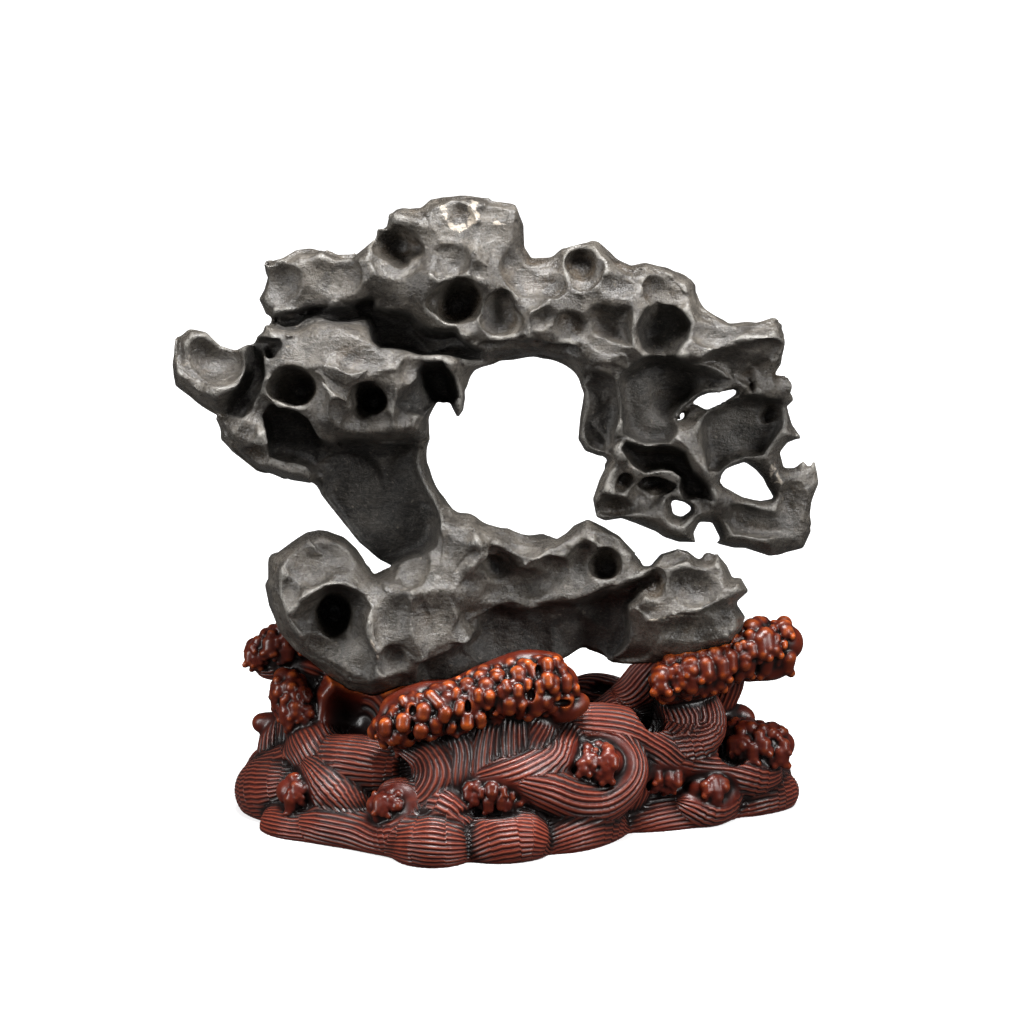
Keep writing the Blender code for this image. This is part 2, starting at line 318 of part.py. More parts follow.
# crests, heads and posts: points (u, v, f, radius), and the radius of the foam's knobs, which is
# 0 where the wood is smooth
CRESTS = [
    ([(-78, 50, 68, 8), (-66, 58, 71, 12), (-44, 66, 72, 12), (-18, 74, 69, 14), (8, 79, 64, 16),
      (26, 80, 60, 14)], 7.5),
    ([(-72, 64, 66, 9), (-56, 72, 66, 8), (-38, 75, 64, 7), (-16, 84, 62, 8), (4, 91, 58, 8),
      (22, 91, 56, 7)], 0),
    ([(18, 63, 62, 7), (30, 64, 62, 7), (38, 68, 58, 6)], 0),
    ([(-159, 95, -12, 7), (-151, 99, -10, 9), (-140, 104, -8, 10), (-126, 101, -8, 10)], 6),
    ([(-140, 82, 6, 8), (-134, 70, 10, 12), (-128, 58, 12, 12), (-121, 49, 14, 8)], 6.5),
    ([(-154, 54, -14, 6), (-144, 54, -12, 6)], 0),
    ([(86, 80, 30, 8), (98, 85, 28, 11), (114, 90, 22, 12), (132, 98, 14, 13), (150, 103, 6, 14),
      (162, 103, 2, 14)], 7),
    ([(90, 73, 24, 7), (108, 77, 18, 8), (124, 82, 12, 8)], 0),
    ([(100, 103, 6, 6), (112, 104, 2, 6), (128, 104, -4, 8)], 0),
    ([(136, 88, 8, 8), (154, 90, 6, 9), (161, 91, 4, 6)], 0),
    ([(130, 44, -2, 12), (146, 42, 0, 13), (160, 41, -4, 11)], 6.5),
    ([(124, 52, -10, 9), (134, 59, -18, 6), (140, 57, -18, 5)], 0),
    ([(-28, 15, 81, 9), (-12, 15, 85, 10), (2, 13, 79, 9)], 6),
    ([(-136, 14, 42, 10), (-125, 14, 42, 11)], 6), ([(-83, 7, 81, 8), (-69, 8, 83, 9)], 5.5),
    ([(37, 32, 62, 11), (55, 32, 58, 12)], 6), ([(110, 16, 25, 10), (121, 15, 21, 10)], 6),
    ([(82, 24, 34, 8), (95, 22, 30, 8)], 5.5),
    ([(-98, 56, -50, 9), (-80, 62, -56, 12), (-62, 62, -58, 10)], 6.5),
    ([(88, 52, -48, 9), (104, 60, -48, 12), (116, 64, -44, 9)], 6.5),
    ([(-20, 50, -80, 10), (-4, 50, -82, 9)], 6), ([(46, 42, -84, 9), (60, 42, -82, 9)], 6),
    ([(-124, 36, -62, 9), (-112, 38, -66, 9)], 6),
]
FOAM_TURN = math.radians(137.5)   # each knob lies this much further round its crest than the last
FOAM_STEP = 0.62                  # spacing of the knobs along it, in knob radii
FOAM_PROUD = 0.72                 # how far out a knob's centre lies, in crest radii
# hollows carved in the stand: u, v, f and their three half sizes
HOLLOWS = [
    (-66, 30, 68, 8, 8, 6), (78, 56, 26, 11, 12, 14), (31, 27, 62, 8, 8, 10),
    (96, 81, 42, 9, 6, 10), (11, 75, 78, 4, 5, 12), (31, 69, 72, 7, 3, 12), (85, 18, 38, 9, 4, 9),
    (112, 7, 28, 8, 3, 5), (130, 36, 14, 10, 8, 10), (-14, 3, 100, 20, 4, 12), (52, 75, -24, 11, 5, 10),
    (-72, 48, 82, 8, 4, 8), (-42, 57, 84, 5, 6, 10), (-12, 61, 84, 9, 5, 12),
]


# ---- scene and material helpers ----
def clear_scene():
    """Empty the scene and give it the part's collection and one for the cutters."""
    for obj in list(bpy.data.objects):
        bpy.data.objects.remove(obj, do_unlink=True)
    collection = bpy.data.collections.new("scholars_rock")
    bpy.context.scene.collection.children.link(collection)
    return collection


def make_material(name, colour, roughness):
    """A Principled material of one colour."""
    material = bpy.data.materials.new(name)
    material.use_nodes = True
    shader = material.node_tree.nodes["Principled BSDF"]
    shader.inputs["Base Color"].default_value = (*colour, 1.0)
    shader.inputs["Roughness"].default_value = roughness
    shader.inputs["Metallic"].default_value = 0.0
    return material


def link_object(name, mesh, collection, matrix=None):
    obj = bpy.data.objects.new(name, mesh)
    if matrix is not None:
        obj.matrix_world = matrix
    collection.objects.link(obj)
    bpy.context.view_layer.update()
    return obj


def evaluated_mesh(obj):
    """The object's mesh with its modifiers applied."""
    depsgraph = bpy.context.evaluated_depsgraph_get()
    return bpy.data.meshes.new_from_object(obj.evaluated_get(depsgraph))


def remove_object(obj):
    data = obj.data
    bpy.data.objects.remove(obj, do_unlink=True)
    if isinstance(data, bpy.types.Curve):
        bpy.data.curves.remove(data)


def sheet_depth(v, f):
    """Distance off the drawing sheet, toward the viewer, of a point at height v and forward f."""
    return (f + v * SIN_LEAN) / COS_LEAN


def sheet_height(height, f):
    """Height v on the sheet of a point at a height over the floor and forward f."""
    return height * COS_LEAN - f * SIN_LEAN


def vertices(mesh):
    points = np.empty(len(mesh.vertices) * 3)
    mesh.vertices.foreach_get("co", points)
    return points.reshape(-1, 3)


def set_vertices(mesh, points):
    mesh.vertices.foreach_set("co", np.ascontiguousarray(points).ravel())
    mesh.update()


def remeshed(mesh, grain, smoothing=0):
    """A mesh of even facets around everything the given mesh encloses."""
    obj = link_object("remeshing", mesh, bpy.context.scene.collection)
    remesh = obj.modifiers.new("skin", "REMESH")
    remesh.mode = "VOXEL"
    remesh.voxel_size = grain * MM
    if smoothing:
        smooth = obj.modifiers.new("soften", "SMOOTH")
        smooth.factor = 0.5
        smooth.iterations = smoothing
    result = evaluated_mesh(obj)
    remove_object(obj)
    return result


def decimated(mesh, triangles):
    obj = link_object("decimating", mesh, bpy.context.scene.collection)
    triangulate = obj.modifiers.new("facets", "TRIANGULATE")
    triangulate.quad_method = "SHORTEST_DIAGONAL"
    decimate = obj.modifiers.new("fewer", "DECIMATE")
    facets = sum(len(polygon.vertices) - 2 for polygon in mesh.polygons)
    decimate.ratio = min(1.0, triangles / facets)
    decimate.use_collapse_triangulate = True
    result = evaluated_mesh(obj)
    remove_object(obj)
    return result


def subtracted(mesh, cutter_mesh):
    obj = link_object("cutting", mesh, bpy.context.scene.collection)
    cutter = link_object("cutter", cutter_mesh, bpy.context.scene.collection)
    boolean = obj.modifiers.new("cut", "BOOLEAN")
    boolean.operation = "DIFFERENCE"
    boolean.solver = "EXACT"
    boolean.object = cutter
    result = evaluated_mesh(obj)
    remove_object(obj)
    remove_object(cutter)
    return result


# ---- shapes in the drawing's own axes ----
def outline_distance(outline, points):
    """Distance of each point (u, v) inside an outline, negative outside."""
    corners = np.array(outline, float)
    u, v = points[:, 0], points[:, 1]
    nearest = np.full(len(points), np.inf)
    inside = np.zeros(len(points), bool)
    for start, end in zip(corners, np.roll(corners, -1, axis=0)):
        edge = end - start
        along = np.clip(((points - start) @ edge) / (edge @ edge), 0, 1)
        nearest = np.minimum(nearest, np.sum((points - start - along[:, None] * edge) ** 2, axis=1))
        crosses = (start[1] > v) != (end[1] > v)
        rise = edge[1] if edge[1] else 1.0
        inside ^= crosses & (u < edge[0] * (v - start[1]) / rise + start[0])
    return np.where(inside, 1, -1) * np.sqrt(nearest)


def blend_places(places, points):
    """Middle and half thickness at each point, blended from those given at a few places."""
    total = np.zeros(len(points))
    middle = np.zeros(len(points))
    half = np.zeros(len(points))
    for u, v, f, thickness in places:
        weight = ((points[:, 0] - u) ** 2 + (points[:, 1] - v) ** 2 + 40.0) ** -1.5
        total += weight
        middle += weight * f
        half += weight * thickness
    return middle / total, half / total


def lobe_mesh(outline, openings, edge, places):
    """A plate cut to the outline and swelled to the lobe's thickness, rounded at its edge."""
    curve = bpy.data.curves.new("outline", "CURVE")
    curve.dimensions = "2D"
    curve.fill_mode = "BOTH"
    curve.extrude = OUTLINE_SLAB * MM
    for loop in [outline] + openings:
        spline = curve.splines.new("POLY")
        spline.points.add(len(loop) - 1)
        for point, (u, v) in zip(spline.points, loop):
            point.co = (u * MM, v * MM, 0.0, 1.0)
        spline.use_cyclic_u = True
    obj = bpy.data.objects.new("outline", curve)
    bpy.context.scene.collection.objects.link(obj)
    bpy.context.view_layer.update()
    plate = evaluated_mesh(obj)
    remove_object(obj)
    editing = bmesh.new()
    editing.from_mesh(plate)
    bmesh.ops.remove_doubles(editing, verts=editing.verts, dist=0.00001)
    editing.to_mesh(plate)
    editing.free()
    mesh = remeshed(plate, 2.2)
    points = vertices(mesh) / MM
    inside = outline_distance(outline, points[:, :2])
    for opening in openings:
        inside = np.minimum(inside, -outline_distance(opening, points[:, :2]))
    middle, half = blend_places(places, points[:, :2])
    rise = np.clip(1 - inside / edge, 0, 1)
    swell = half * np.sqrt(1 - rise ** 2) + 0.4
    side = np.clip(points[:, 2] / (OUTLINE_SLAB - 1.2), -1, 1)
    points[:, 2] = sheet_depth(points[:, 1], middle) + side * swell
    set_vertices(mesh, points * MM)
    return mesh


def unit_ball(subdivisions):
    """Corners and facets of an icosphere of radius 1."""
    editing = bmesh.new()
    bmesh.ops.create_icosphere(editing, subdivisions=subdivisions, radius=1.0)
    points = np.array([vertex.co for vertex in editing.verts])
    facets = np.array([[vertex.index for vertex in face.verts] for face in editing.faces])
    editing.free()
    return points, facets


class Shapes:
    """Several closed shapes, in the drawing's axes, gathered to be joined or cut together."""

    BALLS = {level: unit_ball(level) for level in (2, 3)}

    def __init__(self):
        self.points = []
        self.facets = []
        self.count = 0
        self.meshes = []

    def ball(self, centre, radii, turn=None, subdivisions=3):
        points, facets = self.BALLS[subdivisions]
        points = points * np.array(radii)
        if turn is not None:
            points = points @ np.array(turn.to_3x3()).T
        self.points.append((points + np.array(centre)) * MM)
        self.facets.append(facets + self.count)
        self.count += len(points)

    def limb(self, start, end, start_radius, end_radius):
        """A rounded, tapered rod."""
        start, end = np.array(start, float), np.array(end, float)
        steps = max(1, round(np.linalg.norm(end - start) / (0.4 * min(start_radius, end_radius))))
        for share in np.linspace(0, 1, steps + 1):
            radius = start_radius + (end_radius - start_radius) * share
            self.ball(start + (end - start) * share, (radius,) * 3, subdivisions=2)

    def finish(self):
        """One mesh of every ball and every added mesh."""
        mesh = bpy.data.meshes.new("shapes")
        if self.points:
            mesh.from_pydata(np.concatenate(self.points), [], np.concatenate(self.facets))
        if not self.meshes:
            return mesh
        editing = bmesh.new()
        for source in [mesh] + self.meshes:
            editing.from_mesh(source)
        editing.to_mesh(mesh)
        editing.free()
        return mesh


class Face:
    """Finds the front or back surface of a mesh by looking straight at the drawing."""

    def __init__(self, mesh, side):
        editing = bmesh.new()
        editing.from_mesh(mesh)
        self.tree = BVHTree.FromBMesh(editing)
        editing.free()
        self.side = side

    def depth(self, u, v):
        """Distance off the sheet of the surface at (u, v), or None beside the mesh."""
        start = Vector((u * MM, v * MM, self.side * 1.0))
        hit = self.tree.ray_cast(start, Vector((0, 0, -self.side)))[0]
        return None if hit is None else hit.z / MM


def surface_balls(shapes, face, marks, lift):
    """Balls set in a face, to scoop it: each centre stands off the face by a share of its depth."""
    for u, v, half_width, half_height, depth, turn in marks:
        off_sheet = face.depth(u, v)
        if off_sheet is None:
            continue
        reach = depth / (1 - lift)
        widen = 1 / math.sqrt(1 - lift * lift)
        shapes.ball((u, v, off_sheet + face.side * lift * reach),
                    (half_width * widen, half_height * widen, reach),
                    Matrix.Rotation(math.radians(turn), 4, "Z"))


def add_ridges(shapes, face):
    for path, radius, sink in RIDGES:
        found = [(u, v, face.depth(u, v)) for u, v in path]
        found = [(u, v, w - face.side * sink) for u, v, w in found if w is not None]
        for start, end in zip(found, found[1:]):
            shapes.limb(start, end, radius, radius)
    for u, v, radius, sink in KNOBS:
        off_sheet = face.depth(u, v)
        if off_sheet is not None:
            shapes.ball((u, v, off_sheet - sink), (radius,) * 3)


def roughen(mesh):
    """Broad natural unevenness, the same for the same place."""
    points = vertices(mesh) / MM
    normals = np.empty(len(mesh.vertices) * 3)
    mesh.vertices.foreach_get("normal", normals)
    swell = np.array([noise.noise(Vector(point) / ROUGHNESS_PITCH) for point in points])
    points += normals.reshape(-1, 3) * (ROCK_ROUGHNESS * swell)[:, None]
    set_vertices(mesh, points * MM)


# ---- the rock ----
def build_rock():
    """The stone, in the drawing's axes."""
    body = Shapes()
    for lobe in LOBES:
        body.meshes.append(lobe_mesh(*lobe))
    mesh = remeshed(body.finish(), ROCK_GRAIN, smoothing=6)
    ridged = Shapes()
    ridged.meshes.append(mesh)
    add_ridges(ridged, Face(mesh, 1))
    mesh = remeshed(ridged.finish(), ROCK_GRAIN, smoothing=3)
    roughen(mesh)
    hollows = Shapes()
    front, back = Face(mesh, 1), Face(mesh, -1)
    surface_balls(hollows, front, SCOOPS, SCOOP_LIFT)
    surface_balls(hollows, front, PITS, PIT_LIFT)
    surface_balls(hollows, back, BACK_SCOOPS, SCOOP_LIFT)
    surface_balls(hollows, back, BACK_PITS, PIT_LIFT)
    for outline, edge, places in ALCOVES:
        hollows.meshes.append(lobe_mesh(outline, [], edge, places))
    return keep_largest(subtracted(mesh, remeshed(hollows.finish(), 1.6)))


def keep_largest(mesh):
    """Drop crumbs that the cuts leave loose from the main piece."""
    editing = bmesh.new()
    editing.from_mesh(mesh)
    waiting = set(editing.verts)
    pieces = []
    while waiting:
        piece = set()
        stack = [waiting.pop()]
        while stack:
            vertex = stack.pop()
            piece.add(vertex)
            for edge in vertex.link_edges:
                other = edge.other_vert(vertex)
                if other in waiting:
                    waiting.remove(other)
                    stack.append(other)
        pieces.append(piece)
    pieces.sort(key=len)
    crumbs = [vertex for piece in pieces[:-1] for vertex in piece]
    bmesh.ops.delete(editing, geom=crumbs, context="VERTS")
    editing.to_mesh(mesh)
    editing.free()
    return mesh


# ---- the stand ----
def add_path(wood, path):
    """A rounded rod through points (u, v, f, radius); returns its placed points."""
    placed = [((u, v, sheet_depth(v, f)), radius) for u, v, f, radius in path]
    for (start, start_radius), (end, end_radius) in zip(placed, placed[1:]):
        wood.limb(start, end, start_radius, end_radius)
    return placed


def add_foam(wood, placed, knob):
    """Knobs of foam wound round a crest."""
    turned = 0.0
    for (start, start_radius), (end, end_radius) in zip(placed, placed[1:]):
        start, end = np.array(start), np.array(end)
        count = max(2, round(np.linalg.norm(end - start) / (FOAM_STEP * knob)))
        for share in (np.arange(count) + 0.5) / count:
            out = FOAM_PROUD * (start_radius + (end_radius - start_radius) * share)
            side = np.array([0.0, math.cos(turned), math.sin(turned)])
            wood.ball(start + (end - start) * share + side * out, (knob,) * 3, subdivisions=2)
            turned += FOAM_TURN


def build_stand(rock_mesh):
    """The carved wood, in the drawing's axes, hollowed to take the rock."""
    wood = Shapes()
    for x, height, f, half_width, half_height, half_depth, turn in CORES:
        v = sheet_height(height, f)
        level = SHEET_TO_WORLD.inverted() @ Matrix.Rotation(-math.radians(turn), 4, "Z")
        wood.ball((x, v, sheet_depth(v, f)), (half_width, half_depth, half_height), level)
    wood.meshes.append(lobe_mesh(MASS, [], MASS_EDGE, MASS_PLACES))
    floor_waves = [[(x, sheet_height(height, f), f, radius) for x, f, height, radius in path]
                   for path in FLOOR_WAVES]
    for path in floor_waves + WAVES:
        add_path(wood, path)
    for path, knob in CRESTS:
        placed = add_path(wood, path)
        if knob:
            add_foam(wood, placed, knob)
    mesh = remeshed(wood.finish(), STAND_GRAIN, smoothing=4)
    carving = Shapes()
    for u, v, f, half_width, half_height, half_depth in HOLLOWS:
        carving.ball((u, v, sheet_depth(v, f)), (half_width, half_height, half_depth))
    carved = subtracted(mesh, remeshed(carving.finish(), 2.0))
    seat = rock_mesh.copy()
    normals = np.empty(len(seat.vertices) * 3)
    seat.vertices.foreach_get("normal", normals)
    set_vertices(seat, vertices(seat) + normals.reshape(-1, 3) * SEAT_GAP * MM)
    return keep_largest(subtracted(carved, remeshed(seat, 2.0)))


def saw_flat(mesh):
    """Saw off everything under Z = 0, in world axes."""
    block = bpy.data.meshes.new("block")
    editing = bmesh.new()
    bmesh.ops.create_cube(editing, size=1.0, matrix=Matrix.Translation((0, 0, -0.5)))
    editing.to_mesh(block)
    editing.free()
    return keep_largest(subtracted(mesh, block))


def trim_flaps(mesh):
    """Take off facets that hang on the surface by a single edge."""
    editing = bmesh.new()
    editing.from_mesh(mesh)
    while True:
        flaps = [face for face in editing.faces
                 if sum(len(edge.link_faces) == 1 for edge in face.edges) > 1]
        if not flaps:
            break
        bmesh.ops.delete(editing, geom=flaps, context="FACES")
    editing.to_mesh(mesh)
    editing.free()


def level_underside(mesh):
    points = vertices(mesh)
    points[points[:, 2] < FLAT_WITHIN * MM, 2] = 0.0
    set_vertices(mesh, points)


def main():
    part = clear_scene()
    rock_mesh = build_rock()
    stand_mesh = build_stand(rock_mesh)
    rock_mesh.transform(SHEET_TO_WORLD)
    stand_mesh.transform(SHEET_TO_WORLD)
    rock_mesh = decimated(rock_mesh, ROCK_TRIANGLES)
    stand_mesh = decimated(saw_flat(stand_mesh), STAND_TRIANGLES)
    trim_flaps(rock_mesh)
    trim_flaps(stand_mesh)
    level_underside(stand_mesh)
    for name, mesh, colour, roughness in (("stone", rock_mesh, (0.09, 0.085, 0.08), 0.42),
                                          ("stand", stand_mesh, (0.16, 0.035, 0.022), 0.35)):
        mesh.materials.clear()
        mesh.materials.append(make_material(name + "_finish", colour, roughness))
        obj = link_object(name, mesh, part)
        print(name, len(mesh.polygons), [round(size * 1000, 1) for size in obj.dimensions])


main()
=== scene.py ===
"""The finish of a scholar's rock and its carved stand: surfaces, light and camera."""

import math

import bpy
import numpy as np
import openvdb
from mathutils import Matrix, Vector


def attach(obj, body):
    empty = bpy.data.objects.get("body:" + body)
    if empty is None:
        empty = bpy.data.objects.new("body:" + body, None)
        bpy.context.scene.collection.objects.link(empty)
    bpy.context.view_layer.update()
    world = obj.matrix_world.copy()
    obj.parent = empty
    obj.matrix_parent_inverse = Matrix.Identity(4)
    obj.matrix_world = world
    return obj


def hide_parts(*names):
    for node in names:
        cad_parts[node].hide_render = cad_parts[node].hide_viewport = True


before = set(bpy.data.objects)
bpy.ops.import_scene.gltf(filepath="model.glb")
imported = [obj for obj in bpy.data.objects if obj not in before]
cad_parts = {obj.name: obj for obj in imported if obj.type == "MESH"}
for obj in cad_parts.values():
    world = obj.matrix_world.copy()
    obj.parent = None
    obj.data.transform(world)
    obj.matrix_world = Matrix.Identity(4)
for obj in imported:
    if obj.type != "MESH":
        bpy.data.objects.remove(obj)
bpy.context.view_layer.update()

MM = 0.001
SHEET_LEAN = math.radians(15)     # the drawing sheet leans back by the viewer's height
SIN_LEAN, COS_LEAN = math.sin(SHEET_LEAN), math.cos(SHEET_LEAN)
ROCK_STEP = 1.2                   # grid the rock is shaped on
STAND_STEP = 0.8                  # grid the stand is shaped on
SEAT_GAP = 0.5                    # clearance of the seat carved for the rock
FAR = 1000.0

ROCK_SWELL = 1.4                  # growth of the rock that the first weathering takes away again
WIDE_JOINT, NARROW_JOINT = 9, 1.5     # how widely lobes melt together, and where a gap parts them
FRONT, BACK = 1, -1               # the rock's faces
SHALLOW, STEEP = 0.5, 0.1         # how far off the face a hollow's ball stands, in depths
FLOOR_BLEND, WAVE_BLEND = 6, 8    # how widely waves melt into the block
GOLDEN_TURN = 2.39996             # each knob of foam lies this much further round its crest
FOAM_SPACING = 1.12               # in knob radii
LARGE_KNOB = 6.8                  # knobs over this size have gaps drilled between them
GAP_CHANCE = 0.03
GROOVE_PITCH = 2.2                # spacing of the grooves combed along each wave
GROOVE_DEPTH = 0.5
CURVE_STEPS = 4                   # pieces each length of a wave is curved from
ROCK_TRIANGLES = 380000
STAND_TRIANGLES = 600000
ROCK_PARTING = 236                # height on the sheet where the rock's two pieces meet
STAND_PARTINGS = (-62, 0, 66)     # x where the stand's front pieces meet
STAND_BACK = -18                  # f of the front of its two back pieces
CAMERA_AWAY = 5.0                 # metres from the camera to the middle of the view
FRAME_WIDTH = 0.6144              # width of the view there, in metres
FRAME_MIDDLE = (-2.4, 181.8)      # place on the sheet that the view is centred on

# ---- the rock: outlines of its lobes on the sheet (u, v) ----
UPPER = [(-150, 299), (-155, 309), (-152, 315), (-150, 322), (-151, 330), (-139, 333), (-131, 338),
         (-115, 339), (-107, 334), (-98, 334), (-91, 340), (-85, 346), (-84, 352), (-77, 352),
         (-77, 360), (-67, 363), (-56, 362), (-50, 367), (-34, 369), (-10, 367), (1, 365), (6, 353),
         (6, 340), (11, 333), (20, 334), (27, 340), (48, 343), (59, 332), (68, 327), (77, 329),
         (90, 326), (104, 321), (107, 317), (106, 309), (111, 300), (120, 297), (118, 285), (97, 272),
         (60, 262), (37, 266), (30, 270), (10, 275), (-10, 273), (-25, 267), (-30, 262), (-36, 285),
         (-50, 290), (-63, 299), (-86, 309), (-110, 305), (-143, 300)]
SLIT_BACK = [(-145, 309), (-120, 316), (-60, 318), (-34, 300), (-38, 268), (-120, 266), (-148, 286)]
LEFT = [(-204, 270), (-202, 285), (-194, 292), (-184, 290), (-176, 282), (-167, 280), (-159, 284),
        (-152, 290), (-150, 295), (-138, 293), (-130, 292), (-120, 296), (-107, 297), (-90, 292),
        (-75, 285), (-60, 281), (-48, 286), (-38, 284), (-30, 272), (-29, 250), (-30, 242), (-35, 235),
        (-40, 245), (-46, 246), (-50, 238), (-52, 225), (-60, 222), (-85, 222), (-106, 222),
        (-111, 214), (-118, 205), (-121, 197), (-135, 199), (-145, 203), (-155, 206), (-171, 218),
        (-177, 225), (-177, 231), (-180, 239), (-173, 239), (-180, 242), (-190, 248), (-202, 258)]
RIGHT = [(38, 266), (52, 290), (85, 310), (104, 310), (111, 300), (120, 297), (126, 293), (138, 294),
         (147, 295), (153, 297), (159, 294), (162, 283), (160, 275), (159, 270), (155, 264), (161, 261),
         (167, 249), (163, 245), (166, 234), (173, 226), (164, 222), (160, 217), (162, 210), (167, 210),
         (173, 215), (176, 211), (180, 215), (182, 199), (178, 187), (177, 180), (179, 170), (174, 159),
         (160, 155), (152, 154), (137, 159), (131, 159), (116, 162), (121, 166), (117, 174), (111, 174),
         (108, 169), (110, 162), (98, 162), (88, 165), (83, 169), (63, 176), (53, 175), (47, 178),
         (44, 190), (48, 201), (54, 213), (48, 214), (40, 217), (35, 225), (37, 238),
         (39, 254)]
WINDOW_HIGH = [(97, 238), (98, 241), (106, 248), (111, 251), (120, 251), (130, 254), (131, 253),
               (124, 249), (115, 245), (105, 240)]
WINDOW_WIDE = [(123, 200), (127, 206), (131, 208), (137, 210), (143, 206), (147, 201), (149, 197),
               (153, 191), (147, 190), (137, 192), (126, 198)]
WINDOW_SMALL = [(95, 187), (96, 182), (99, 181), (102, 183), (103, 184), (100, 186)]
NECK = [(-118, 216), (-123, 202), (-118, 191), (-106, 176), (-95, 162), (-83, 152), (-75, 148),
        (-75, 130), (-40, 130), (-30, 165), (-26, 177), (-35, 180), (-41, 188), (-48, 200), (-53, 212),
        (-52, 226), (-85, 236)]
BELLY = [(-88, 141), (-82, 146), (-75, 149), (-66, 160), (-55, 173), (-46, 180), (-36, 176),
         (-26, 177), (-17, 172), (-5, 170), (0, 168), (0, 150), (-4, 135), (-10, 121), (-25, 118),
         (-12, 104), (-18, 92), (-30, 83), (-44, 76), (-56, 73), (-66, 73), (-73, 74), (-86, 75),
         (-100, 80), (-100, 120)]
CURL = [(-80, 138), (-86, 147), (-90, 155), (-95, 162), (-103, 168), (-113, 172), (-118, 173),
        (-126, 171), (-136, 165), (-149, 155), (-149, 137), (-147, 125), (-140, 110), (-131, 99),
        (-114, 86), (-105, 80), (-96, 76), (-86, 75), (-75, 77), (-70, 100)]
LOWER = [(-40, 160), (-30, 175), (-17, 171), (0, 168), (8, 167), (21, 169), (24, 167), (30, 171),
         (34, 175), (43, 179), (54, 174), (63, 169), (72, 159), (76, 151), (80, 151), (86, 158),
         (97, 162), (104, 160), (110, 155), (115, 154), (121, 159), (128, 151), (131, 144), (136, 144),
         (142, 134), (135, 127), (140, 119), (136, 110), (128, 101), (110, 95), (90, 91), (66, 92),
         (56, 92), (48, 96), (40, 101), (33, 98), (22, 91), (6, 87), (-10, 86), (-25, 89), (-34, 98)]

# a lobe: outline, openings through it, width of its rounded edge, and its middle and half
# thickness at a few places (u, v, f of the middle, half thickness)
LOBES = [
    (UPPER, [], 16, [(-130, 318, -12, 20), (-90, 322, -4, 25), (-40, 355, -10, 20), (-35, 320, 0, 31),
                     (10, 300, 2, 33), (60, 305, -2, 31), (100, 305, -8, 26), (20, 335, -8, 22)]),
    (SLIT_BACK, [], 8, [(-130, 290, -13, 15), (-50, 290, -10, 18)]),
    (LEFT, [], 18, [(-195, 270, 2, 19), (-170, 250, 8, 27), (-140, 235, 12, 33), (-100, 250, 16, 37),
                    (-60, 250, 12, 34), (-40, 275, 8, 32), (-135, 285, 12, 28), (-35, 250, 8, 24)]),
    (RIGHT, [WINDOW_HIGH, WINDOW_WIDE, WINDOW_SMALL], 13,
     [(60, 290, 0, 31), (100, 290, 0, 31), (140, 285, 6, 26), (60, 240, 2, 31), (100, 220, 0, 28),
      (150, 240, -10, 22), (60, 195, 14, 26), (90, 195, 4, 26), (165, 185, -12, 16),
      (176, 210, -14, 10), (140, 172, -4, 22), (120, 275, 0, 28)]),
    (NECK, [], 16, [(-85, 200, -10, 22), (-60, 170, -4, 28)]),
    (BELLY, [], 20, [(-75, 110, 14, 38), (-45, 130, 14, 37), (-30, 160, 4, 30), (-10, 150, 0, 28)]),
    (CURL, [], 22, [(-115, 125, 18, 37), (-120, 155, 8, 31), (-90, 100, 16, 38)]),
    (LOWER, [], 15, [(-20, 150, 2, 30), (20, 140, 2, 29), (60, 140, 8, 28), (100, 130, 10, 30),
                     (60, 105, 0, 28), (-10, 110, -6, 22), (125, 120, 6, 28)]),
]

